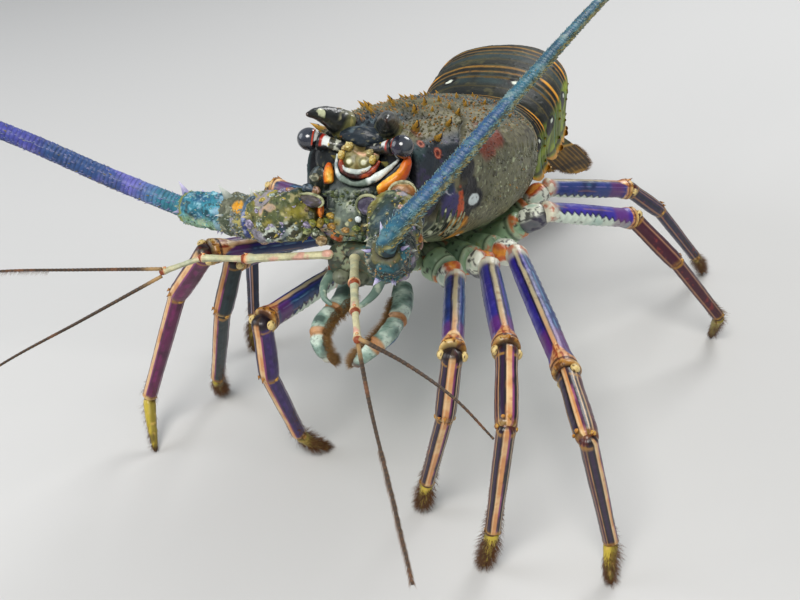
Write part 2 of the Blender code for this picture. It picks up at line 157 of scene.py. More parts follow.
def path_frames(path, side):
    """Side, up and forward directions along a path."""
    t = unit(np.gradient(np.asarray(path, float), axis=0))
    side = np.asarray(side, float)
    a = unit(side - t * (t @ side)[:, None] if side.ndim == 1 else side - t * (t * side).sum(-1)[:, None])
    return a, np.cross(t, a), t


# ------------------------------------------------------------------ mesh gathering
class Shell:
    """Collects grids, spines and blobs into one mesh with a colour at each vertex."""

    def __init__(self, name):
        self.name, self.v, self.c, self.q, self.t, self.mq, self.mt, self.n, self.uv = name, [], [], [], [], [], [], 0, None

    def _put(self, P, col):
        P = np.asarray(P, float).reshape(-1, 3)
        self.v.append(P)
        self.c.append(np.broadcast_to(np.asarray(col, float), P.shape).reshape(-1, 3))
        at = self.n
        self.n += len(P)
        return at

    def grid(self, P, col, around=True, caps=(True, True), mat=0):
        """A surface of rings P[i, j]; around closes j, caps closes the end rings."""
        P = np.asarray(P, float)
        a, b = P.shape[:2]
        col = np.broadcast_to(np.asarray(col, float), P.shape)
        at = self._put(P, col.reshape(-1, 3))
        i, j = np.meshgrid(np.arange(a - 1), np.arange(b if around else b - 1), indexing="ij")
        k = (j + 1) % b
        quad = np.stack([i * b + j, i * b + k, (i + 1) * b + k, (i + 1) * b + j], -1).reshape(-1, 4)
        c = P.reshape(-1, 3).mean(0)
        A, B, D = (P.reshape(-1, 3)[quad[:, n]] - c for n in (0, 1, 2))
        flip = around and np.einsum("ij,ij->", A, np.cross(B, D)) < 0
        tri = []
        if around:
            for end, want in ((0, caps[0]), (a - 1, caps[1])):
                if not want:
                    continue
                m = self._put(P[end].mean(0)[None], col[end].mean(0)[None]) - at
                jj = np.arange(b)
                kk = (jj + 1) % b
                f = np.stack([np.full(b, m), end * b + kk, end * b + jj] if end == 0 else [np.full(b, m), end * b + jj, end * b + kk], -1)
                tri.append(f)
        if flip:
            quad = quad[:, ::-1]
            tri = [f[:, ::-1] for f in tri]
        self.q.append(quad + at)
        self.mq.append(np.full(len(quad), mat))
        for f in tri:
            self.t.append(f + at)
            self.mt.append(np.full(len(f), mat))
        return self

    def cones(self, base, dirs, length, radius, col0, col1, n=7, rings=4, bend=None, sink=0.35, power=1.0, mat=0):
        """Many spines at once: bent cones with a coloured tip."""
        base, dirs = np.atleast_2d(base).astype(float), unit(np.atleast_2d(dirs))
        m = len(base)
        if m == 0:
            return self
        length, radius = np.broadcast_to(length, (m,)).astype(float), np.broadcast_to(radius, (m,)).astype(float)
        ref = np.where(np.abs(dirs[:, 2:3]) < 0.9, V(0, 0, 1), V(1, 0, 0))
        a = unit(np.cross(dirs, ref))
        b = np.cross(dirs, a)
        bend = np.zeros((m, 3)) if bend is None else np.broadcast_to(bend, (m, 3))
        col0, col1 = np.broadcast_to(col0, (m, 3)), np.broadcast_to(col1, (m, 3))
        ang = TAU * np.arange(n) / n
        ringv, ringc = [], []
        for r in range(rings):
            t = r / rings
            rad = radius * (1 - t) ** power * (1 + 0.25 * (t == 0))
            c = base + dirs * (length * (t - sink * (r == 0) * 0.5))[:, None] + bend * (length * t * t)[:, None]
            ringv.append(c[:, None] + (a[:, None] * np.cos(ang)[None, :, None] + b[:, None] * np.sin(ang)[None, :, None]) * rad[:, None, None])
            ringc.append(np.repeat((col0 * (1 - t) + col1 * t)[:, None], n, 1))
        tip = base + dirs * length[:, None] + bend * length[:, None]
        P = np.concatenate([np.stack(ringv, 1).reshape(m, -1, 3), tip[:, None]], 1)
        K = np.concatenate([np.stack(ringc, 1).reshape(m, -1, 3), col1[:, None]], 1)
        per = rings * n + 1
        at = self._put(P, K.reshape(-1, 3))
        quad = np.array([[r * n + j, r * n + (j + 1) % n, (r + 1) * n + (j + 1) % n, (r + 1) * n + j] for r in range(rings - 1) for j in range(n)]).reshape(-1, 4)
        tri = np.array([[(rings - 1) * n + j, (rings - 1) * n + (j + 1) % n, rings * n] for j in range(n)])
        off = at + per * np.arange(m)
        if len(quad):
            self.q.append((quad[None] + off[:, None, None]).reshape(-1, 4))
            self.mq.append(np.full(len(quad) * m, mat))
        self.t.append((tri[None] + off[:, None, None]).reshape(-1, 3))
        self.mt.append(np.full(len(tri) * m, mat))
        return self

    def blob(self, centre, radii, axes, col, n=20, mat=0, bump=0.0, seed=1):
        """An ellipsoid; axes are its three directions, col a colour or a function of the unit points."""
        th = np.linspace(0.02, math.pi - 0.02, n)[:, None]
        ph = (TAU * np.arange(n * 2) / (n * 2))[None]
        u = np.stack([np.sin(th) * np.cos(ph), np.sin(th) * np.sin(ph), np.cos(th) + 0 * ph], -1)
        k = 1 + (bump * fbm(u * 10, 6, 2, seed)[..., None] if bump else 0)
        P = centre + (u * k * np.asarray(radii, float)) @ np.asarray(axes, float)
        return self.grid(P, col(u) if callable(col) else flat(col, u.shape[:2]), mat=mat)

    def hairs(self, base, dirs, length, radius, col0, col1, uv, bend=None, mat=0, rings=3):
        """Setae: thin three-sided bent cones, each with its small patch on the OFBake map."""
        m = len(base)
        if m == 0:
            return self
        self.cones(base, dirs, length, radius, col0, col1, n=3, rings=rings, bend=bend, sink=0.2, power=0.8, mat=mat)
        per = rings * 3 + 1
        local = np.array([[0.0015 * (j % 3) / 2, 0.003 * (j // 3) / rings] for j in range(per - 1)] + [[0.0008, 0.003]])
        if self.uv is None:
            self.uv = []
        self.uv.append((np.clip(np.asarray(uv), 0, 0.996)[:, None] + local[None]).reshape(-1, 2))
        return self

    def make(self, materials, replaces=(), angle=None):
        mesh = bpy.data.meshes.new(self.name)
        v = (np.concatenate(self.v) + SHIFT) * MM
        v[:, 2] = np.maximum(v[:, 2], 0.0)
        q = np.concatenate(self.q) if self.q else np.zeros((0, 4), int)
        t = np.concatenate(self.t) if self.t else np.zeros((0, 3), int)
        mesh.vertices.add(len(v))
        mesh.vertices.foreach_set("co", v.ravel().astype(np.float32))
        loops = np.concatenate([q.ravel(), t.ravel()])
        mesh.loops.add(len(loops))
        mesh.loops.foreach_set("vertex_index", loops.astype(np.int32))
        mesh.polygons.add(len(q) + len(t))
        starts = np.concatenate([np.arange(len(q)) * 4, len(q) * 4 + np.arange(len(t)) * 3])
        mesh.polygons.foreach_set("loop_start", starts.astype(np.int32))
        mesh.polygons.foreach_set("loop_total", np.concatenate([np.full(len(q), 4), np.full(len(t), 3)]).astype(np.int32))
        mats = np.concatenate([np.concatenate(self.mq) if self.mq else np.zeros(0, int), np.concatenate(self.mt) if self.mt else np.zeros(0, int)])
        mesh.polygons.foreach_set("material_index", mats.astype(np.int32))
        mesh.update(calc_edges=True)
        mesh.validate()
        col = np.ones((len(v), 4), np.float32)
        col[:, :3] = np.clip(np.concatenate(self.c), 0, 1)
        attr = mesh.attributes.new("Col", "FLOAT_COLOR", "POINT")
        attr.data.foreach_set("color", col.ravel())
        if self.uv is not None:
            uvs = np.concatenate(self.uv)
            layer = mesh.uv_layers.new(name="OFBake")
            idx = np.zeros(len(mesh.loops), np.int32)
            mesh.loops.foreach_get("vertex_index", idx)
            layer.data.foreach_set("uv", uvs[idx].astype(np.float32).ravel())
        mesh.shade_smooth()
        if angle:
            mesh.set_sharp_from_angle(angle=math.radians(angle))
        for m in materials if isinstance(materials, (list, tuple)) else [materials]:
            mesh.materials.append(m)
        obj = bpy.data.objects.new(self.name, mesh)
        bpy.context.scene.collection.objects.link(obj)
        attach(obj, "root")
        if replaces:
            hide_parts(*([replaces] if isinstance(replaces, str) else replaces))
        return obj


# ------------------------------------------------------------------ materials
def shell_material(name, rough=0.38, coat=0.25, grain=0.25, grain_scale=900.0, pits=0.0, pit_scale=700.0, mottle=0.12, mottle_scale=160.0, rough_var=0.12, spec=0.5):
    """Painted shell: the vertex markings, broken up by fine mottling, with grain, pits and uneven gloss."""
    m = bpy.data.materials.new(name)
    m.use_nodes = True
    nt = m.node_tree
    N, L = nt.nodes, nt.links
    b = N["Principled BSDF"]
    b.inputs["Roughness"].default_value = rough
    b.inputs["Coat Weight"].default_value = coat
    b.inputs["Coat Roughness"].default_value = 0.18
    b.inputs["Specular IOR Level"].default_value = spec
    at = N.new("ShaderNodeAttribute")
    at.attribute_name = "Col"
    tc = N.new("ShaderNodeTexCoord")
    big = N.new("ShaderNodeTexNoise")
    big.inputs["Scale"].default_value = mottle_scale
    big.inputs["Detail"].default_value = 6
    big.inputs["Roughness"].default_value = 0.6
    L.new(tc.outputs["Object"], big.inputs["Vector"])
    ramp = N.new("ShaderNodeMapRange")
    ramp.inputs["From Min"].default_value = 0.3
    ramp.inputs["From Max"].default_value = 0.7
    ramp.inputs["To Min"].default_value = 1 - mottle
    ramp.inputs["To Max"].default_value = 1 + mottle
    L.new(big.outputs["Fac"], ramp.inputs["Value"])
    mul = N.new("ShaderNodeVectorMath")
    mul.operation = "SCALE"
    L.new(at.outputs["Color"], mul.inputs[0])
    L.new(ramp.outputs["Result"], mul.inputs["Scale"])
    fine = N.new("ShaderNodeTexNoise")
    fine.inputs["Scale"].default_value = grain_scale
    fine.inputs["Detail"].default_value = 4
    L.new(tc.outputs["Object"], fine.inputs["Vector"])
    colour = mul.outputs["Vector"]
    height = fine.outputs["Fac"]
    if pits:
        vor = N.new("ShaderNodeTexVoronoi")
        vor.inputs["Scale"].default_value = pit_scale
        L.new(tc.outputs["Object"], vor.inputs["Vector"])
        hole = N.new("ShaderNodeMapRange")
        hole.inputs["From Min"].default_value = 0.12
        hole.inputs["From Max"].default_value = 0.34
        hole.inputs["To Min"].default_value = 1 - pits
        hole.inputs["To Max"].default_value = 1.0
        L.new(vor.outputs["Distance"], hole.inputs["Value"])
        dark = N.new("ShaderNodeVectorMath")
        dark.operation = "SCALE"
        L.new(colour, dark.inputs[0])
        L.new(hole.outputs["Result"], dark.inputs["Scale"])
        colour = dark.outputs["Vector"]
        add = N.new("ShaderNodeMath")
        add.operation = "ADD"
        L.new(fine.outputs["Fac"], add.inputs[0])
        L.new(hole.outputs["Result"], add.inputs[1])
        height = add.outputs["Value"]
    L.new(colour, b.inputs["Base Color"])
    bump = N.new("ShaderNodeBump")
    bump.inputs["Strength"].default_value = grain
    bump.inputs["Distance"].default_value = 0.0004
    L.new(height, bump.inputs["Height"])
    L.new(bump.outputs["Normal"], b.inputs["Normal"])
    rr = N.new("ShaderNodeMapRange")
    rr.inputs["To Min"].default_value = max(0.05, rough - rough_var)
    rr.inputs["To Max"].default_value = rough + rough_var
    L.new(big.outputs["Fac"], rr.inputs["Value"])
    L.new(rr.outputs["Result"], b.inputs["Roughness"])
    return m


M_SHELL = shell_material("lobster_carapace", rough=0.5, coat=0.04, grain=0.5, pits=0.4, pit_scale=620, mottle=0.25, spec=0.35)
M_SMOOTH = shell_material("lobster_leg", rough=0.36, coat=0.15, spec=0.45, grain=0.22, grain_scale=700, mottle=0.1)
M_FACE = shell_material("lobster_face", rough=0.42, coat=0.15, grain=0.5, mottle=0.28, mottle_scale=420, spec=0.4)
M_HORN = shell_material("lobster_horn", rough=0.32, coat=0.3, grain=0.3, mottle=0.15, mottle_scale=260)
M_ANT = shell_material("lobster_antenna", rough=0.5, coat=0.06, grain=0.45, mottle=0.25, mottle_scale=260, spec=0.4)
M_TAIL = shell_material("lobster_tail", rough=0.55, coat=0.02, spec=0.3, grain=0.3, pits=0.12, pit_scale=500, mottle=0.2, mottle_scale=200)
M_FAN = shell_material("lobster_fan", rough=0.45, coat=0.1, grain=0.3, mottle=0.16, mottle_scale=300)
M_SOFT = shell_material("lobster_underside", rough=0.5, coat=0.1, grain=0.3, mottle=0.18, mottle_scale=220)
M_EYE = shell_material("lobster_eye", rough=0.12, coat=0.8, grain=0.03, grain_scale=3000, mottle=0.1, mottle_scale=500, rough_var=0.04)
M_HAIR = shell_material("lobster_setae", rough=0.55, coat=0.0, grain=0.1, mottle=0.25, mottle_scale=400)

RNG = np.random.default_rng(20)


# ------------------------------------------------------------------ tubes
def tube(sh, path, ra, rb, col, up=None, side=None, n=48, power=2.0, disp=None, caps=(True, True), mat=0, twist=0.0):
    """A limb surface round a path. col(f, th, P, s) gives its colours: f 0..1 along, th degrees from the top, s mm along."""
    path = np.asarray(path, float)
    T = unit(np.gradient(path, axis=0))
    if up is not None:
        A = unit(np.cross(T, np.broadcast_to(up, T.shape)))
    else:
        A = np.broadcast_to(side, T.shape)
        A = unit(A - T * (T * A).sum(-1)[:, None])
    B = np.cross(A, T)
    m = len(path)
    th = TAU * np.arange(n) / n + math.radians(twist)
    s, c = np.sin(th), np.cos(th)
    e = 2 / power
    s, c = np.sign(s) * np.abs(s) ** e, np.sign(c) * np.abs(c) ** e
    ra, rb = np.broadcast_to(ra, (m,)).astype(float), np.broadcast_to(rb, (m,)).astype(float)
    out = A[:, None] * (ra[:, None] * s)[..., None] + B[:, None] * (rb[:, None] * c)[..., None]
    P = path[:, None] + out
    S = np.concatenate([[0], np.cumsum(np.linalg.norm(np.diff(path, axis=0), axis=1))])[:, None] + np.zeros((1, n))
    F = S / S[-1, 0]
    TH = np.broadcast_to((np.degrees(th) + 180) % 360 - 180, (m, n))
    K = col(F, TH, P, S) if callable(col) else flat(col, (m, n))
    if disp is not None:
        P = P + unit(out) * disp(F, TH, P, S)[..., None]
    sh.grid(P, K, caps=caps, mat=mat)
    return P, TH, F, A, B, T


def straight(a, b, step=0.55, ends=2):
    """Points from a to b, closer together at both ends so that the ends round off."""
    L = np.linalg.norm(b - a)
    n = max(6, int(L / step))
    f = np.linspace(0, 1, n)
    lead = np.array([0.0, 0.25, 0.6]) * (0.9 / L)
    f = np.unique(np.concatenate([lead, f[(f > 1.0 / L) & (f < 1 - 1.0 / L)], 1 - lead]))
    return a + (b - a) * f[:, None], f


def rounded(f, L, r, k=0.9):
    """Radius profile r(f) closed off roundly over the last k mm at both ends."""
    d = np.minimum(f, 1 - f) * L
    return r * np.sqrt(np.clip(1 - (1 - np.clip(d / k, 0, 1)) ** 2, 0.03, 1))


# ================================================================== carapace
WIDTH = {-1: 19.5, 6: 22.5, 20: 27.5, 40: 31.0, 60: 33.0, 80: 32.5, 92: 30.5, 100: 28.0}
TOP = {-1: 14.6, 6: 16.2, 20: 18.0, 36: 19.4, 44: 18.8, 52: 19.8, 75: 20.6, 92: 19.8, 100: 18.4}
LOW = {-1: -18.0, 10: -23.0, 30: -27.0, 55: -27.0, 80: -24.0, 100: -18.0}


def carapace_at(y, a):
    """Surface (x, z) of the carapace at y, angle a from the top (radians, + to the left)."""
    s, c = np.sin(a), np.cos(a)
    w, t, b = table(WIDTH, y), table(TOP, y), table(LOW, y)
    top = c >= 0
    x = np.where(top, w * np.sign(s) * np.abs(s) ** (2 / 2.25), w * np.sign(s) * np.abs(s) ** (2 / 3.0) * (1 - 0.10 * np.abs(c) ** 2))
    z = np.where(top, t * np.abs(c) ** (2 / 2.25), b * np.abs(c) ** (2 / 3.6))
    return x, z


GROOVE = {0: 47.0, 20: 45.0, 35: 38.0, 50: 27.5, 62: 20.0, 75: 15.5, 90: 12.5, 104: 9.5, 118: 7.0}


def groove(y, a):
    """0..1 depth of the neck groove that arches over the back and curls forward on the cheek."""
    deg = np.degrees(np.abs(a))
    g = np.exp(-((y - table(GROOVE, deg)) / 1.5) ** 2)
    return g * (1 - smooth(deg, 112, 125))


def hexes(n0, n1, jitter, rng):
    i, j = np.meshgrid(np.arange(n0), np.arange(n1), indexing="ij")
    u = (i + 0.5) / n0 + rng.uniform(-jitter, jitter, i.shape) / n0
    v = (j + 0.5 * (i % 2) + 0.25) / n1 + rng.uniform(-jitter, jitter, i.shape) / n1
    return u.ravel(), v.ravel()


KHAKI, KHAKI_D, KHAKI_L = C("68644a"), C("3a3a2a"), C("938c68")
SLATE, SLATE_D, NIGHT = C("44545a"), C("1e2a33"), C("12141b")
RUST, ORANGE, GOLD, CREAM, MINT, WHITE = C("7c3527"), C("d9641c"), C("e0a63a"), C("e3d9ae"), C("a9c8a4"), C("e9f2ee")
PURPLE, INDIGO, VIOLET, MAROON, PEACH = C("3d3466"), C("2a2a86"), C("4a3196"), C("4c1730"), C("eab27c")


def spot(P, centre, r, soft=0.7, wob=0.9, cell=3.0, seed=3, long=1.0):
    """Mask of a ragged patch round a point given in body axes (x, y, z); long stretches it along the body."""
    d = np.linalg.norm((P - np.asarray(centre, float)) / V(1, long, 1), axis=-1) + wob * fbm(P, cell, 2, seed)
    return 1 - smooth(d, r - soft, r + soft)


def carapace_colour(x, y, z, a):
    P = np.stack([np.broadcast_to(x, y.shape), y, z], -1)
    deg = np.degrees(a)
    side = np.abs(deg)
    n1, n2, n3 = fbm(P, 16, 3, 5), fbm(P, 6, 3, 9), fbm(P, 2.2, 3, 13)
    col = flat(KHAKI, y.shape)
    col = paint(col, KHAKI_D, smooth(n2 + 0.4 * n1, 0.05, 0.55) * 0.75)
    col = paint(col, KHAKI_L, smooth(n3 - 0.3 * n2, 0.15, 0.6) * 0.55)
    # blue-slate saddle over the rear of the back
    saddle = smooth(y, 50, 70) * (1 - smooth(side, 38, 62)) * smooth(n1 + 0.5 * n2, -0.55, 0.1)
    col = paint(col, SLATE, saddle * 0.75)
    col = paint(col, SLATE_D, saddle * smooth(n2, 0.0, 0.45) * 0.8)
    mid = (1 - smooth(side, 14, 30)) * (1 - smooth(y + 2 * n2, 10, 24)) * smooth(n2, -0.9, -0.1)
    col = paint(col, C("1b2836"), mid * 0.92)
    col = paint(col, C("5f7078"), mid * smooth(n3 + n2, 0.2, 0.5) * 0.8)
    col = paint(col, C("8a8358"), (1 - smooth(side, 34, 44)) * smooth(side, 20, 30) * (1 - smooth(y, 8, 16)) * smooth(n2, -0.2, 0.3) * 0.6)
    # dark blue-purple cheek in front of the neck groove
    gy = table(GROOVE, side)
    cheek = smooth(gy - y + 1.2 * n2, 0.2, 2.0) * smooth(side, 44, 55) * (1 - smooth(side, 108, 120))
    col = paint(col, C("1d2733"), cheek * 0.93)
    col = paint(col, C("37304f"), cheek * smooth(n3 + n2, 0.15, 0.6) * 0.8)
    col = paint(col, C("31504f"), cheek * smooth(n1 - 0.4 * n2, 0.05, 0.4) * 0.5)
    col = paint(col, C("8a8aa0"), cheek * smooth(n3, 0.62, 0.75) * 0.35)
    # pitted grey-green flank with rows of dark dots, lower rim pale with black dots
    flank = smooth(side, 70, 84) * smooth(y - gy, 6, 16)
    col = paint(col, C("7c7f62"), flank * 0.45)
    dots = smooth(vnoise(P / 0.95, 61), 0.45, 0.62)
    col = paint(col, C("23291f"), dots * flank * 0.75)
    col = paint(col, C("c5cfa6"), smooth(vnoise(P / 0.8, 63), 0.55, 0.7) * flank * 0.6)
    rim = smooth(-z, 20.5, 23.5) * smooth(y, 12, 20)
    col = paint(col, C("8d9a72"), rim * 0.7)
    col = paint(col, C("15180f"), rim * smooth(vnoise(P / 1.6, 65), 0.35, 0.5) * 0.9)
    # brick-red patch behind the groove, dark branchial mottling
    big = smooth(vnoise(P / 2.4, 67), 0.62, 0.72) * (1 - cheek)
    col = paint(col, C("22180f"), big * 0.6)
    for s in (1, -1):
        red = np.maximum(spot(P, (s * 27.9, 43.0, 11.0), 6.2, 1.6, 2.2, 5, 21, 1.3), spot(P, (s * 27.9, 35.0, 6.5), 4.4, 1.4, 2.0, 5, 22, 1.2))
        col = paint(col, RUST, red * 0.85)
        col = paint(col, C("a35a44"), red * smooth(n3, 0.2, 0.6) * 0.7)
        # black band with the white spot low on the flank
        blackish = np.maximum.reduce([spot(P, (s * 27.3, 20.5, 0.5), 3.6, 0.8, 1.4, 4, 31, 1.5), spot(P, (s * 27.5, 26.5, -9.2), 3.9, 0.6, 0.5, 4, 32, 1.75),
                                      spot(P, (s * 26.6, 24.0, -14.0), 2.4, 0.8, 0.9, 4, 33, 1.3), spot(P, (s * 27.4, 22.8, -4.6), 3.6, 0.8, 1.0, 4, 34, 1.4)])
        col = paint(col, C("0a0c11"), blackish)
        col = paint(col, C("34384c"), blackish * smooth(n2, 0.3, 0.6) * (P[..., 2] > -6) * 0.6)
        white = spot(P, (s * 27.4, 27.0, -9.4), 2.15, 0.22, 0.15, 3, 35, 1.75)
        col = paint(col, C("dfeae8"), white)
        # purple triangle, orange stripe, white squiggles at the front of the flank
        pur = np.maximum(spot(P, (s * 24.2, 14.6, -10.5), 4.2, 0.7, 1.0, 4, 41), spot(P, (s * 24.0, 12.5, -6.5), 3.2, 0.7, 0.8, 4, 42))
        col = paint(col, C("3b3768"), pur * 0.95)
        col = paint(col, C("7d76a6"), pur * smooth(n3, 0.2, 0.55) * 0.6)
        org = np.clip(np.maximum.reduce([spot(P, (s * 25.6, 17.2 + 0.55 * k, -4.0 - 2.1 * k), 1.25 + 0.25 * k, 0.35, 0.25, 3, 43) for k in range(5)]), 0, 1)
        col = paint(col, C("c8562a"), org)
        scr = spot(P, (s * 23.8, 11.6, -3.6), 3.2, 0.8, 0.8, 4, 44)
        col = paint(col, C("23364a"), scr * 0.9)
        col = paint(col, C("d9dbe6"), scr * smooth(np.abs(fbm(P, 2.4, 2, 47)), 0.12, 0.04))
        # orange-gold patch and pale folds on the lower front edge
        gold = np.maximum(spot(P, (s * 23.4, 22.5, -18.5), 4.6, 1.0, 1.4, 4, 51, 1.4), spot(P, (s * 19.5, 30.0, -21.5), 3.4, 1.0, 1.2, 4, 52, 1.5))
        col = paint(col, C("c07818"), gold * 0.95)
        col = paint(col, C("efb040"), gold * smooth(n3 + 0.3 * n2, -0.1, 0.3) * 0.9)
        col = paint(col, C("3a2a14"), gold * smooth(-n2, 0.3, 0.5) * 0.8)
        fold = smooth(-z, 13, 17) * (1 - smooth(y, 14, 20)) * smooth(side, 96, 104) * (np.sign(P[..., 0]) == s)
        stripes = smooth(np.sin(y * 2.1 + 1.5 * n2), 0.1, 0.6)
        col = paint(col, C("3c4a44"), fold * 0.9)
        col = paint(col, C("c9d3ad"), fold * stripes * 0.55)
        # red rings on the cheek
        for c, r in (((s * 21.6, 8.1, 7.0), 1.65), ((s * 17.6, 3.6, 10.0), 1.2), ((s * 22.6, 12.5, 1.0), 1.0)):
            d = np.linalg.norm(P - np.asarray(c), axis=-1)
            col = paint(col, C("85301f"), 1 - smooth(d, r, r + 0.35))
            col = paint(col, C("c58a70"), band(d, r * 0.8, 0.12, 0.12) * 0.7)
            col = paint(col, C("4a1a18"), 1 - smooth(d, r * 0.3, r * 0.55))
        col = paint(col, C("6d4a3a"), spot(P, (s * 16.1, 5.5, 13.7), 2.4, 0.8, 1.0, 3, 57) * 0.8)
    # neck groove shadow, hind rim
    col = paint(col, C("23261c"), groove(y, a) * 0.75)
    hind = smooth(y, 93.6, 94.6) * (1 - smooth(y, 95.2, 96.2))
    col = paint(col, C("191d18"), hind * 0.85)
    col = paint(col, C("8a8a5a"), smooth(y, 96.6, 97.6) * 0.6)
    col = paint(col, C("c98a3a"), band(y, 99.0, 0.35, 0.4) * (1 - smooth(side, 70, 100)) * 0.8)
    return col


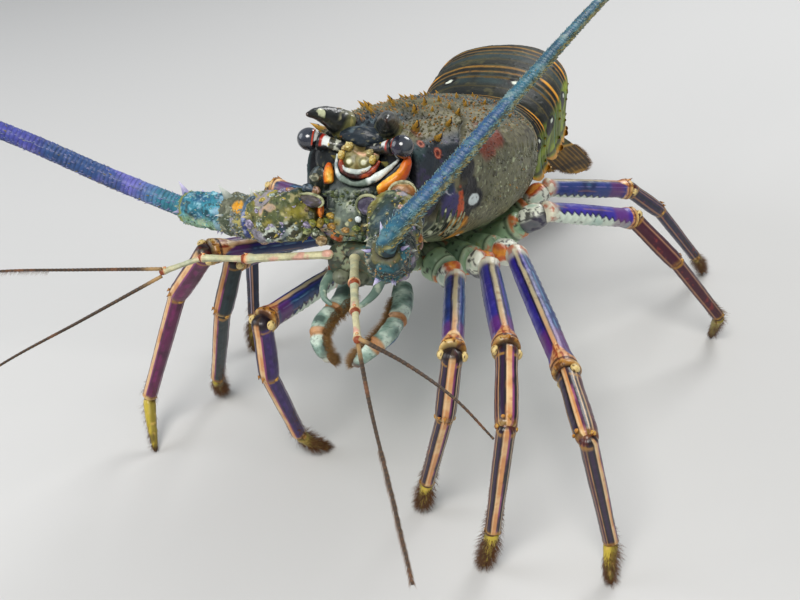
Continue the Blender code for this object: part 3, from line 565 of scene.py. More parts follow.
def build_carapace():
    sh = Shell("shell_carapace")
    ny, na = 270, 420
    ys = np.concatenate([[-1.0, -1.0, -1.0, -0.9], np.linspace(-0.6, 100, ny)])
    scale = np.concatenate([[0.25, 0.7, 0.93, 0.985], np.ones(ny)])
    fine = np.linspace(-math.pi, math.pi, 3001)
    A = np.zeros((len(ys), na))
    for i, y in enumerate(ys):
        x, z = carapace_at(np.full(fine.shape, y), fine)
        s = np.concatenate([[0], np.cumsum(np.hypot(np.diff(x), np.diff(z)))])
        A[i] = np.interp(s[-1] * np.arange(na) / na, s, fine)
    Y = np.repeat(ys[:, None], na, 1)
    X, Z = carapace_at(Y, A)
    P = np.stack([X, Y, Z], -1)
    r = unit(np.stack([X, 0 * X, Z * 1.3], -1))
    g = groove(Y, A)
    side = np.degrees(np.abs(A))
    rough = 0.22 * fbm(P, 3.2, 3, 71) + 0.35 * fbm(P, 9, 2, 72)
    pimple = 0.42 * smooth(vnoise(P / 1.7, 73), 0.35, 0.8) * smooth(side, -1, 5) * (1 - smooth(side, 96, 115))
    ridge = 0.9 * np.exp(-((side - 62) / 7) ** 2) * smooth(Y, 4, 12) * (1 - smooth(Y, 30, 44))      # brow ridge behind the horn
    lat = 0.8 * np.exp(-((side - 70) / 10) ** 2) * smooth(Y, 40, 50) * (1 - smooth(Y, 84, 94))
    hind = -0.9 * np.exp(-((Y - 94.8) / 1.0) ** 2) + 0.35 * smooth(Y, 96, 98)
    back2 = -0.5 * np.exp(-((side - 22 - (Y - 50) * 0.1) / 3.0) ** 2) * smooth(Y, 50, 56) * (1 - smooth(Y, 84, 92))
    d = rough + pimple - 1.5 * g + ridge + lat + hind + back2
    inner = smooth(Y, -0.8, 2.0)
    P = P + r * (d * inner)[..., None]
    P[..., 0] *= scale[:, None]
    P[..., 2] = P[..., 2] * scale[:, None]
    back = 3.5 * np.maximum(0, np.cos(A)) * np.clip((Y - 60) / 40, 0, 1)
    dip = 2.2 * np.exp(-((side) / 16) ** 2) * (1 - smooth(Y, 0, 9))        # notch between the horns
    col = carapace_colour(P[..., 0], Y, P[..., 2], A)
    col = paint(col, C("10131a"), (scale[:, None] < 0.95) * np.ones_like(Y))
    W = body(P[..., 0], P[..., 1] - back, P[..., 2] - dip)
    sh.grid(W, col)
    # spines: large ones in rows, then many small ones, all leaning forward
    big = [(14, 8, 5.5), (20, 12, 5.0), (8, 22, 4.5), (19, 24, 4.5), (26, 18, 4.5), (6, 36, 4.0), (17, 38, 4.0), (27, 34, 4.0), (5, 52, 3.2), (14, 54, 3.2), (24, 54, 3.2),
           (6, 68, 3.0), (16, 70, 3.0), (25, 72, 2.8), (7, 84, 2.6), (17, 86, 2.6), (3.5, 14, 3.2), (2.5, 29, 2.8), (11, 30, 3.0), (11, 46, 2.8), (21, 44, 2.8), (11, 61, 2.4), (21, 62, 2.4), (11, 77, 2.2), (21, 79, 2.2)]
    bases, dirs, lens, rads, c1 = [], [], [], [], []
    for x0, y0, h in big:
        for s in (1, -1):
            w = float(table(WIDTH, y0))
            aa = s * math.asin(min(0.98, x0 / w) ** (2.25 / 2))
            bx, bz = carapace_at(np.array(y0 * 1.0), np.array(aa))
            nrm = unit(V(float(bx) * 0.9, 0, float(bz) * 1.3))
            bases.append(V(float(bx), y0, float(bz)) - nrm * 0.4)
            dirs.append(unit(nrm * 0.85 + V(0, -0.75, 0)))
            lens.append(h * 1.12)
            rads.append(h * 0.30)
            c1.append(h)
    bases, dirs = np.array(bases), np.array(dirs)
    back = 3.5 * np.maximum(0, bases[:, 2] / 20) * np.clip((bases[:, 1] - 60) / 40, 0, 1)
    W = body(bases[:, 0], bases[:, 1] - back, bases[:, 2])
    sh.cones(W, bdir(dirs[:, 0], dirs[:, 1], dirs[:, 2]), lens, rads, C("6b5c2c"), C("d9a33a"), n=12, rings=6, bend=bdir(0, -0.16, 0.02), power=0.9)
    ring = np.array(c1) > 3.9
    sh.cones((W + bdir(dirs[:, 0], dirs[:, 1], dirs[:, 2]) * np.array(lens)[:, None] * 0.62)[ring], bdir(dirs[:, 0], dirs[:, 1], dirs[:, 2])[ring], np.array(lens)[ring] * 0.46, np.array(rads)[ring] * 0.5,
             C("2a1710"), C("1a0f0a"), n=10, rings=4, bend=bdir(0, -0.22, 0.02))
    u, v = hexes(46, 60, 0.35, RNG)
    yy, aa = 3 + u * 89, (v - 0.5) * math.radians(216)
    sd = np.abs(np.degrees(aa))
    cheeky = (table(GROOVE, sd) - yy > 0.5) & (sd > 46)
    keep = (sd < 104) & (groove(yy, aa) < 0.25) & (~cheeky | (RNG.random(len(yy)) < 0.2)) & ~((sd > 76) & (yy < 34))
    yy, aa = yy[keep], aa[keep]
    bx, bz = carapace_at(yy, aa)
    nrm = unit(np.stack([bx, 0 * bx, bz * 1.3], -1))
    B = np.stack([bx, yy, bz], -1) - nrm * 0.1
    D = unit(nrm * 0.8 + V(0, -0.8, 0))
    L = 0.55 + 0.85 * RNG.random(len(yy)) ** 2 + 0.5 * (1 - smooth(yy, 10, 60))
    back = 3.5 * np.maximum(0, np.cos(aa)) * np.clip((yy - 60) / 40, 0, 1)
    base_col = carapace_colour(B[:, 0], B[:, 1], B[:, 2], aa)
    aad = np.degrees(np.abs(aa))[:, None]
    tipc = np.where(RNG.random((len(yy), 1)) < 0.30 * (1 - smooth(aad, 50, 75)) + 0.04, C("c98a3a"), np.clip(base_col * 1.5 + 0.03, 0, 0.5))
    sh.cones(body(B[:, 0], B[:, 1] - back, B[:, 2]), bdir(D[:, 0], D[:, 1], D[:, 2]), L, 0.34 + 0.1 * L, base_col, tipc, n=6, rings=3)
    for s in (1, -1):
        for (x, y, z), r, c0, c1 in (((22.6, 18.0, -15.0), 1.5, "d9d2a8", "7a6a3a"), ((24.6, 24.5, -15.5), 1.1, "d5cfa4", "7a6a3a"), ((20.8, 20.5, -17.5), 1.2, "e0a040", "7a4a1a"), ((23.6, 28.0, -18.0), 1.0, "d99a38", "7a4a1a"),
                                     ((18.0, 25.0, -22.0), 1.3, "d5cfa4", "5a5030"), ((13.4, 19.0, -22.4), 1.1, "eef2ea", "9aa090"), ((20.5, 33.5, -22.5), 1.3, "dfe6e2", "8a9a90"), ((18.6, 12.0, -19.0), 1.2, "c9cfae", "4a5a40"), ((21.0, 26.5, -20.5), 1.0, "efc060", "8a5a1a")):
            sh.blob(body(s * x, y, z), (r * 0.8, r * 1.3, r), [bdir(1, 0, 0), bdir(0, 1, 0), bdir(0, 0, 1)], lambda u, c0=c0, c1=c1: paint(flat(C(c0), u.shape[:2]), C(c1), smooth(fbm(u * 6, 3, 2, 66), 0.1, 0.45) * 0.7), n=14, bump=0.12)
        for q in range(6):
            y0 = 9.5 + 2.6 * q
            a0 = np.radians(np.linspace(103 + q, 135 + 2 * q, 60)) * s
            yy = y0 + 3.0 * np.linspace(0, 1, 60) ** 1.5
            x, z = carapace_at(yy, a0)
            r = 0.62 * np.sin(np.linspace(0.15, math.pi - 0.15, 60)) ** 0.6
            tube(sh, body(x, yy, z), r, r, lambda f, th, P, s_: paint(paint(flat(C("3a4634"), f.shape), C("c5caa4"), smooth(fbm(P, 2.0, 3, 68), -0.15, 0.2) * 0.9), C("14160f"), smooth(fbm(P, 1.4, 2, 69), 0.35, 0.5) * 0.8), up=bdir(0, 1, 0), n=18)
    return sh.make([M_SHELL], "carapace")


build_carapace()


# ================================================================== walking legs
LEGS = {
    "left_1": ((13.5, 30, -33), [V(23, 15, 70), V(39, -31, 70), V(36, -33, 48), V(25, -26, 14), V(21, -24, 0)]),
    "left_2": ((16.0, 43, -33), [V(31, 26, 70), V(54, -25, 70), V(61, -48, 60), V(54, -44, 16), V(50, -44, 0)]),
    "left_3": ((18.5, 56, -33), [V(36, 40, 69), V(71, -18, 60), V(83.5, -44, 58), V(88.5, -33.5, 12), V(90, -39, 0)]),
    "left_4": ((20.0, 70, -32.5), [V(41, 59, 76), V(66, 97, 58), V(84, 96, 41), V(100.5, 105, 14), V(97, 111, 0)]),
    "left_5": ((21.0, 84, -30), [V(34, 83, 74), V(60, 117, 61), V(70, 131, 46), V(83, 154, 14), V(85, 165, 0)]),
    "right_1": ((-13.5, 30, -33), [V(-24, 17, 63), V(-28, -28, 69), V(-30, -26, 46), V(-30, -13, 12), V(-24, -3, 0)]),
    "right_2": ((-16.0, 43, -33), [V(-31, 33, 71), V(-55, -14, 84), V(-73, -11, 63), V(-93, -15, 17), V(-87, -25, 0)]),
    "right_3": ((-18.5, 56, -33), [V(-36, 45, 68), V(-54, 0, 74), V(-61, -3, 53), V(-77, 8, 14), V(-82, 18, 0)]),
    "right_4": ((-20.0, 70, -32.5), [V(-38, 60, 68), V(-83, 80, 64), V(-92, 70, 44), V(-88, 56, 12), V(-85, 48, 0)]),
    "right_5": ((-21.0, 84, -30), [V(-34, 83, 72), V(-60, 119, 68), V(-71, 132, 50), V(-84, 148, 14), V(-86, 158, 0)]),
}
LEG_LOOK = {  # merus flank, merus dark, lower flank, lower dark
    "left_1": (C("2a3f86"), C("191a42"), C("3a1a33"), C("150f1c")),
    "left_2": (C("2c2a86"), C("17153c"), C("43182c"), C("160d18")),
    "left_3": (C("2f2590"), C("17123c"), C("45192c"), C("160d18")),
    "left_4": (C("33269a"), C("1a1446"), C("4a1528"), C("1b0c16")),
    "left_5": (C("2a3f80"), C("161f44"), C("2a2348"), C("12121f")),
    "right_1": (C("2f3a9a"), C("181a44"), C("35205c"), C("170f26")),
    "right_2": (C("3a2a8c"), C("1d1440"), C("641c4c"), C("240c20")),
    # right_3, right_4 and right_5 get dull navy and near-black tones far darker than the other legs: painted shade on
    # the far legs
    "right_3": (C("1f3148"), C("101823"), C("1c2c30"), C("0d1416")),
    "right_4": (C("1f3550"), C("101a26"), C("22283c"), C("0e1118")),
    "right_5": (C("1f3550"), C("101a26"), C("22283c"), C("0e1118")),
}
PEACHY, CREAMY = C("d6955e"), C("b3a784")


STRIPE_TURN = {"left_1": 0, "left_2": 6, "left_3": -40, "left_4": 0, "left_5": 0, "right_1": 0, "right_2": 0, "right_3": 0, "right_4": 0, "right_5": 0}


LOWER_TURN = {"left_2": 4, "left_3": -28, "left_4": -32, "left_5": -20}


def turned(th, by):
    return (th - by + 180) % 360 - 180


def merus_colour(look, turn, near_side=0.0):
    main, dark = look[0], look[1]

    def col(f, th, P, s):
        th = turned(th, turn)
        n1, n2 = fbm(P, 7, 3, 81), fbm(P, 1.8, 2, 82)
        a = np.abs(th + 2.5 * n1)
        k = flat(main, th.shape)
        k = paint(k, dark, smooth(n1, -0.1, 0.5) * 0.7)
        k = paint(k, C("5a4fb0"), smooth(n2, 0.25, 0.6) * 0.35)
        k = paint(k, C("3e7090"), smooth(n1 + 0.3 * n2, 0.35, 0.7) * 0.4 * (f < 0.5))
        k = paint(k, C("173a5c"), smooth(-th + 4 * n1, 26, 40) * (1 - smooth(-th, 100, 120)) * 0.75)
        k = paint(k, C("6f9ac0"), band(-th + 2 * n1, 48, 1.6, 2.5) * smooth(n2, -0.5, 0.1) * 0.8)
        k = paint(k, C("8f86c4"), band(th + 2 * n1, 62, 1.8, 3.0) * smooth(n2, -0.5, 0.1) * 0.6)
        k = paint(k, C("b78a72"), band(a, 88, 1.2, 2.5) * smooth(n1, -0.3, 0.2) * 0.7)
        k = paint(k, C("120e1e"), band(a, 16.5, 2.5, 5) * 0.95)
        stripe = 1 - smooth(a, 9.5, 12.0)
        k = paint(k, CREAMY, stripe)
        k = paint(k, PEACHY, stripe * smooth(f + 0.15 * n1, 0.45, 0.95) * 0.9)
        k = paint(k, C("8b7f6a"), stripe * smooth(n1 - 0.6 * f, 0.0, 0.35) * 0.55)
        k = paint(k, C("7a3a2a"), stripe * smooth(n2, 0.35, 0.55) * 0.45)
        # serrated white underside, strongest near the body
        teeth = 108 - near_side + 26 * np.abs(((s / 3.4 + 0.35 * n1) % 1) - 0.5) * 2 + 30 * smooth(f, 0.35, 0.9)
        under = smooth(a, teeth, teeth + 7) * (1 - smooth(f, 0.82, 0.95))
        k = paint(k, C("0f0c18"), smooth(a, teeth - 14, teeth - 5) * (1 - smooth(f, 0.82, 0.95)) * 0.8)
        k = paint(k, C("d5e3d2"), under)
        k = paint(k, C("9fc0b4"), under * smooth(n1, 0.1, 0.5) * 0.7)
        k = paint(k, C("241a20"), under * smooth(n2, 0.38, 0.55) * 0.6)
        # near end: white and mint blotches with dark lines
        near = 1 - smooth(f + 0.02 * n2, 0.03, 0.13)
        k = paint(k, C("e4e0c8"), near * 0.9)
        k = paint(k, C("b9501e"), near * smooth(n2, 0.0, 0.3) * 0.85)
        # far end: peach and red-brown blotches, then the collar
        far = np.maximum(smooth(f + 0.012 * n2 - 0.0018 * a, 0.80, 0.83) * (a < 60), smooth(f + 0.012 * n2, 0.905, 0.92))
        k = paint(k, C("6f2a6a"), band(f, 0.80, 0.05, 0.06) * smooth(a, 14, 20) * 0.6)
        k = paint(k, C("d89a5c"), far * 0.92)
        k = paint(k, C("8a1f1c"), far * band(a + 6 * n2, 13, 3, 3) * 0.9)
        k = paint(k, C("8a3414"), far * smooth(np.abs(n2), 0.10, 0.03) * 0.85)
        k = paint(k, C("f0d09a"), far * smooth(n1 + 0.5 * n2, 0.2, 0.4) * 0.7)
        k = paint(k, C("1c0b0c"), band(f + 0.004 * n2, 0.942, 0.004, 0.006) * 0.95)
        k = paint(k, C("a8742a"), smooth(f, 0.950, 0.956) * 0.95)
        k = paint(k, C("dcbc74"), smooth(f, 0.955, 0.962) * smooth(n2, -0.1, 0.25) * 0.9)
        k = paint(k, C("4a1c10"), smooth(f, 0.955, 0.962) * smooth(-n2 + 0.5 * n1, 0.3, 0.5) * 0.8)
        k = paint(k, C("1c0c08"), smooth(f, 0.984, 0.992) * 0.95)
        return k
    return col


def lower_colour(look, carpus, turn, lined=True):
    main, dark = look[2], look[3]

    def col(f, th, P, s):
        th = turned(th, turn)
        n1, n2 = fbm(P, 6, 3, 85), fbm(P, 1.6, 2, 86)
        a = np.abs(th + 2.0 * n1)
        k = flat(dark, th.shape)
        k = paint(k, main, band(a, 80, 14, 8) * 0.95)
        k = paint(k, main, smooth(a, 100, 120) * 0.7)
        k = paint(k, C("120a16"), band(a, 30, 12, 5) * 0.85)
        k = paint(k, C("8f3f78"), band(-th + 2.5 * n1, 19, 4.5, 3) * smooth(n1, -0.5, 0.1) * 0.9)
        k = paint(k, C("3a1c4a"), band(th, 34, 6, 5) * 0.5)
        k = paint(k, C("a03a2c"), smooth(n2, 0.3, 0.6) * (a > 55) * 0.35)
        line = 1.0
        if not lined:
            k = paint(k, main, smooth(a, 24, 34) * 0.9)
            k = paint(k, dark, smooth(n1, 0.0, 0.4) * smooth(a, 24, 34) * 0.5)
            k = paint(k, np.clip(main * 1.9, 0, 0.7), band(a + 5 * n1, 62, 9, 10) * smooth(n2, -0.3, 0.3) * 0.55)
            k = paint(k, C("b9a8b4"), band(a, 112, 2.5, 3.0) * 0.8)
        k = paint(k, C("dcbf98"), band(-th + 2.0 * n1, 44, 2.0, 2.2) * 0.95 * lined)
        k = paint(k, C("d2b088"), band(-th + 2.0 * n1, 62, 1.8, 2.2) * 0.9 * lined)
        k = paint(k, C("cf9c68"), band(th + 2.0 * n1, 56, 1.5, 2.4) * 0.8 * lined)
        k = paint(k, C("b98a60"), band(th + 2.0 * n1, 82, 1.4, 2.4) * 0.7 * lined)
        k = paint(k, C("b98a66"), band(a, 138, 5.0, 5.0) * 0.55)
        stripe = 1 - smooth(a, 12.0, 14.5)
        k = paint(k, C("cf8f58"), stripe)
        k = paint(k, C("e0bd8a"), stripe * smooth(n1 + 0.3 * n2, -0.15, 0.3) * 0.75)
        k = paint(k, C("e9cfa0"), stripe * band(th, 7, 2.5, 3) * 0.6)
        k = paint(k, C("b56a3c"), stripe * smooth(n2, 0.3, 0.55) * 0.5)
        near, far = ((0.10, 0.17), (0.90, 0.97)) if carpus else ((0.02, 0.05), (0.945, 0.97))
        e0, e1 = 1 - smooth(f + 0.02 * n2, *near), smooth(f + 0.015 * n2, *far)
        ends = np.maximum(e0, e1 * (0.45 if carpus else 1.0))
        k = paint(k, C("b98a30"), e1 * (0.45 if carpus else 1.0) * (0.35 + 0.55 * smooth(a, 10, 16)))
        k = paint(k, C("160a0a"), e0 * (0.95 - 0.75 * stripe * smooth(f, near[0] * 0.55, near[0])))
        k = paint(k, C("a87a2c"), band(f + 0.01 * n2, near[1] + 0.01, 0.008, 0.012) * smooth(a, 18, 26) * 0.7)
        k = paint(k, C("5d2016"), np.maximum(e0, e1) * smooth(n1 + n2, 0.05, 0.35) * 0.6 * smooth(a, 14, 20))
        k = paint(k, C("e2c684"), e1 * (0.45 if carpus else 1.0) * smooth(-n1 + 0.4 * n2, 0.2, 0.45) * 0.6)
        return k
    return col


def dactyl_colour(f, th, P, s):
    n1, n2 = fbm(P, 5, 2, 88), fbm(P, 1.4, 2, 89)
    k = flat(C("8f7f2c"), th.shape)
    k = paint(k, C("c9b23c"), (1 - smooth(np.abs(th), 25, 60)) * 0.8)
    k = paint(k, C("3f3418"), smooth(n1, 0.0, 0.5) * 0.7)
    k = paint(k, C("d7b25c"), smooth(n2, 0.3, 0.55) * 0.6)
    k = paint(k, C("2a1a0e"), smooth(f, 0.84, 0.95) * 0.95)
    return k


def coxa_colour(f, th, P, s):
    n1, n2 = fbm(P, 5, 3, 91), fbm(P, 1.7, 2, 92)
    k = flat(C("94b28c"), th.shape)
    k = paint(k, C("b9cea4"), smooth(n1, 0.0, 0.5) * 0.8)
    k = paint(k, C("6a8a74"), smooth(-n1, 0.1, 0.6) * 0.7)
    k = paint(k, C("8a9a4a"), smooth(n1 - n2, 0.35, 0.6) * 0.5)
    k = paint(k, C("161c18"), smooth(vnoise(P / 1.15, 93), 0.5, 0.64) * 0.9)
    k = paint(k, C("2a382c"), band(f, 0.74, 0.02, 0.04) * 0.7)
    k = paint(k, C("c3d2b0"), band(f, 0.82, 0.03, 0.04) * 0.6)
    k = paint(k, C("c8631f"), smooth(f, 0.78, 0.85) * smooth(n1 + 0.4 * n2, 0.05, 0.3) * 0.9)
    return k


def ischium_colour(f, th, P, s):
    n1, n2 = fbm(P, 4, 3, 94), fbm(P, 1.5, 2, 95)
    a = np.abs(th)
    k = flat(C("e3e8d8"), th.shape)
    k = paint(k, C("9fc2ae"), smooth(n1, 0.15, 0.5) * 0.7)
    k = paint(k, C("15131c"), band(np.abs(n1 + 0.2 * n2), 0.0, 0.05, 0.06) * 0.9)
    k = paint(k, C("b9531b"), (1 - smooth(a + 12 * n2, 26, 40)) * smooth(f, 0.15, 0.3) * 0.95)
    k = paint(k, C("e69a3c"), (1 - smooth(a + 12 * n2, 8, 18)) * smooth(f, 0.2, 0.4) * 0.8)
    k = paint(k, C("231a3c"), smooth(a + 14 * n1, 120, 140) * 0.85)
    k = paint(k, C("17121a"), smooth(f, 0.9, 0.97) * 0.85)
    return k


def build_leg(name, base, joints, setae):
    A, K1, K2, K3, T = joints
    root = body(*base)
    grow = {"1": 1.0, "2": 1.02, "3": 1.0, "4": 0.95, "5": 0.9}[name[-1]]
    look = LEG_LOOK[name]
    N = unit(np.cross(K1 - A, K2 - K1))
    if np.cross(N, unit(K1 - A))[2] < 0:
        N = -N
    sh = Shell("shell_leg_" + name)
    knots = lambda s0, amp=0.14, cell=1.6: (lambda f, th, P, s: amp * fbm(P, cell, 2, s0))
    # coxa
    d = unit(A - root)
    L = np.linalg.norm(A - root)
    side = unit(N - d * (N @ d))
    p, f = straight(root - d * 1.5, root + d * L * 0.66, 0.5)
    LL = np.linalg.norm(p[-1] - p[0])
    r = table({0: 5.4, 0.3: 6.2, 0.6: 5.8, 0.74: 5.35, 0.8: 5.5, 0.92: 5.2, 1: 4.6}, f) * grow
    tube(sh, p, rounded(f, LL, r, 1.6), rounded(f, LL, r * 0.95, 1.6), coxa_colour, side=side, n=60, power=2.2, disp=lambda f, th, P, s: 0.35 * fbm(P, 3, 3, 97))
    # ischium: two lobes above, a ring below
    p, f = straight(root + d * L * 0.58, A + unit(K1 - A) * 2.4, 0.45)
    LL = np.linalg.norm(p[-1] - p[0])
    r = table({0: 3.8, 0.25: 4.7, 0.6: 4.8, 0.8: 4.2, 1: 3.6}, f) * grow
    tube(sh, p, rounded(f, LL, r, 1.8), rounded(f, LL, r, 1.8), ischium_colour, side=side, n=60, power=2.1,
         disp=lambda f, th, P, s: 0.75 * np.exp(-((np.abs(th) - 32) / 15) ** 2) * band(f, 0.55, 0.12, 0.25) - 0.5 * np.exp(-(th / 9) ** 2) * band(f, 0.55, 0.1, 0.2) + 0.2 * fbm(P, 2, 2, 98))
    # merus
    d = unit(K1 - A)
    p, f = straight(A + d * 0.6, K1 - d * 0.2, 0.55)
    LL = np.linalg.norm(p[-1] - p[0])
    r = table({0: 3.5, 0.025: 3.95, 0.08: 3.5, 0.3: 3.72, 0.6: 3.75, 0.86: 3.6, 0.925: 4.15, 0.944: 4.2, 0.95: 3.85, 0.957: 4.35, 0.98: 4.4, 1: 3.8}, f) * grow
    up = np.cross(N, d)
    tube(sh, p, rounded(f, LL, r * 0.97, 1.2), rounded(f, LL, r * 1.04, 1.2), merus_colour(look, STRIPE_TURN[name], 34.0 if name == "right_1" else 0.0), side=N, n=64, power=2.3,
         disp=lambda f, th, P, s: 0.10 * fbm(P, 2.2, 2, 99) + 0.12 * (1 - smooth(np.abs(np.abs(th) - 17), 1.5, 4)) * -1 + 0.25 * smooth(np.abs(th), 110, 140) * np.maximum(0, np.sin(s * 1.85)) * (1 - smooth(f, 0.5, 0.9)))
    tip = K1 - d * 2.2 + up * 3.9 * grow
    sh.cones([tip, tip + N * 2.6 - up * 0.7, tip - N * 2.6 - up * 0.7], [d * 0.9 + up * 0.5] * 3, [2.8, 1.7, 1.7], [0.75, 0.55, 0.55], C("c7832c"), C("2a130c"), n=10, rings=5)
    # knee membrane and condyles
    sh.blob(K1 + (d - unit(K2 - K1)) * -0.8, np.array([2.9, 2.9, 2.9]) * grow, np.eye(3), C("1c0f0c"), n=14, bump=0.04)
    for s in (1, -1):
        sh.blob(K1 + N * s * 3.55 * grow + d * 0.2, np.array([1.25, 1.6, 1.6]) * grow, [N, d, up], lambda u: paint(flat(C("dfc682"), u.shape[:2]), C("4a1c10"), smooth(fbm(u * 6, 3, 2, 5), 0.05, 0.4)), n=12, bump=0.06)
    # carpus, propodus
    for a, b, tab, power, car in ((K1, K2, {0: 3.3, 0.10: 3.5, 0.3: 3.3, 0.6: 3.5, 0.85: 3.45, 0.93: 3.25, 1: 2.95}, 2.3, True),
                                  (K2, K3, {0: 2.85, 0.03: 2.95, 0.1: 2.8, 0.4: 2.75, 0.75: 2.5, 0.93: 2.5, 0.965: 2.4, 0.975: 2.6, 1: 2.2}, 2.5, False)):
        d2 = unit(b - a)
        lead = np.concatenate([np.linspace(0, 3.0, 14), np.linspace(3.5, np.linalg.norm(b - a) + (3.1 if car else 1.8) - 1.2, 60), np.linalg.norm(b - a) + (3.1 if car else 1.8) - np.array([0.8, 0.5, 0.25, 0.1, 0.0])])
        p = a - d2 * (2.6 if car else 2.2) + d2 * (lead * (np.linalg.norm(b - a) + (3.4 if car else 2.0)) / lead[-1])[:, None]
        f = lead / lead[-1]
        LL = np.linalg.norm(p[-1] - p[0])
        r = table(tab, f) * grow
        r = r * np.sqrt(np.clip(1 - (1 - np.clip(f * LL / 2.9, 0, 1)) ** 2, 0.01, 1))
        u2 = np.cross(N, d2)
        tube(sh, p, rounded(f, LL, r * 0.97, 1.1), rounded(f, LL, r * 1.03, 1.1), lower_colour(look, car, LOWER_TURN.get(name, 0), name.startswith("left")), side=N, n=60, power=power,
             disp=lambda f, th, P, s: 0.08 * fbm(P, 2.0, 2, 101) - 0.10 * (1 - smooth(np.abs(np.abs(th) - 23), 1.5, 4)) - 0.07 * (1 - smooth(np.abs(np.abs(th) - 78), 2, 5)))
        q = b
        rr = 2.75 if car else 2.15
        sh.blob(q - unit(d2 - unit((T if not car else K3) - b)) * 0.4, np.array([rr, rr, rr]) * grow * 0.93, np.eye(3), C("6a3a1c") if car else C("5a3a18"), n=12, bump=0.04)
        for s in (1, -1):
            k1 = 0.26 if car else 0.36
            sh.blob(q + N * s * (rr * (1.0 if car else 0.92)) * grow, np.array([rr * k1, rr * k1 * 1.25, rr * k1 * 1.25]) * grow, [N, d2, u2],
                    lambda u: paint(flat(C("c99a44"), u.shape[:2]), C("67260f"), smooth(fbm(u * 6, 3, 2, 6), 0.05, 0.4)), n=10, bump=0.06)
        if car:
            tip = b - d2 * 1.6 + u2 * 3.5 * grow
            sh.cones([tip, tip + N * 1.9 - u2 * 0.4], [d2 * 0.9 + u2 * 0.5] * 2, [1.9, 1.3], [0.6, 0.5], C("c98a34"), C("2a130c"), n=8, rings=4)
    # dactyl, a little curved, standing on its point
    d3 = unit(T - K3)
    u3 = np.cross(N, d3)
    L3 = np.linalg.norm(T - K3)
    f = np.linspace(0, 1, 44)
    p = K3 + (T - K3) * f[:, None] + u3 * (0.9 * np.sin(math.pi * f))[:, None] * (1 if L3 > 10 else 0.5)
    r = table({0: 1.9, 0.08: 2.3, 0.3: 2.1, 0.6: 1.7, 0.85: 1.15, 0.96: 0.75, 1: 0.5}, f) * grow
    tube(sh, p, rounded(f, L3, r, 0.5), rounded(f, L3, r, 0.5), dactyl_colour, side=N, n=36, disp=knots(103, 0.12, 1.2))
    # setae: a brush round the dactyl and rows on the far half of the propodus
    m = 950
    ff = RNG.random(m) ** 0.85 * 0.9 + 0.04
    th = RNG.random(m) * TAU
    o = N * np.sin(th)[:, None] + u3 * np.cos(th)[:, None]
    base_p = K3 + (T - K3) * ff[:, None] + u3 * (0.9 * np.sin(math.pi * ff))[:, None] + o * (table({0: 1.9, 0.3: 2.0, 0.6: 1.6, 0.85: 1.05, 1: 0.5}, ff) * grow)[:, None]
    dr = unit(o * 0.9 + d3 * (0.75 + 0.4 * RNG.random((m, 1))) + RNG.normal(0, 0.14, (m, 3)))
    ln = (4.2 - 1.6 * ff) * (0.7 + 0.5 * RNG.random(m)) * grow
    legno = list(LEGS).index(name)
    setae.append((base_p, dr, ln, np.full(m, 0.07), np.stack([(legno + th / TAU) / 10, 0.02 + ff * 0.45], 1), d3))
    m = 360
    ff = 0.45 + 0.54 * RNG.random(m)
    th = np.radians(RNG.choice([63, -63, 95, -95, 140, -140], m) + RNG.normal(0, 7, m))
    d2 = unit(K3 - K2)
    u2 = np.cross(N, d2)
    o = N * np.sin(th)[:, None] + u2 * np.cos(th)[:, None]
    base_p = K2 + (K3 - K2) * ff[:, None] + o * 2.45 * grow
    dr = unit(o * 0.6 + d2 * 0.8 + RNG.normal(0, 0.12, (m, 3)))
    ln = (0.7 + 2.0 * smooth(ff, 0.7, 1.0)) * (0.7 + 0.6 * RNG.random(m))
    setae.append((base_p, dr, ln, np.full(m, 0.06), np.stack([(legno + (th % TAU) / TAU) / 10, 0.5 + ff * 0.45], 1), d2))
    sh.make([M_SMOOTH], (f"leg_{name}_upper", f"leg_{name}_lower"))


def build_legs():
    for side in ("left", "right"):
        setae = []
        for name, (base, joints) in LEGS.items():
            if name.startswith(side):
                build_leg(name, base, joints, setae)
        hs = Shell("setae_legs_" + side)
        for b, d, ln, r, uv, fwd in setae:
            keep = (b + d * ln[:, None])[:, 2] > 0.25
            b, d, ln, r, uv = b[keep], d[keep], ln[keep], r[keep], uv[keep]
            tone = RNG.random((len(b), 1))
            hs.hairs(b, d, ln, r, C("3a220e") * (1 - tone) + C("6e4014") * tone, C("8a5a22") * (1 - tone) + C("5a3614") * tone, uv, bend=fwd * 0.12)
        hs.make([M_HAIR], ())


build_legs()


# ================================================================== face, horns and eyes
def bpath(pts, n, z_lift=0.0):
    """A smooth path through points in body axes, as points of the model."""
    return curve_through([body(*p) for p in pts], n)


def marbled(base, other, cell=2.5, amount=0.8, lo=0.0, hi=0.35, seed=3, extra=None):
    def col(f, th, P, s=None):
        n = fbm(P, cell, 3, seed)
        k = paint(flat(base, n.shape), other, smooth(n, lo, hi) * amount)
        if extra is not None:
            k = extra(k, f, th, P, n)
        return k
    return col


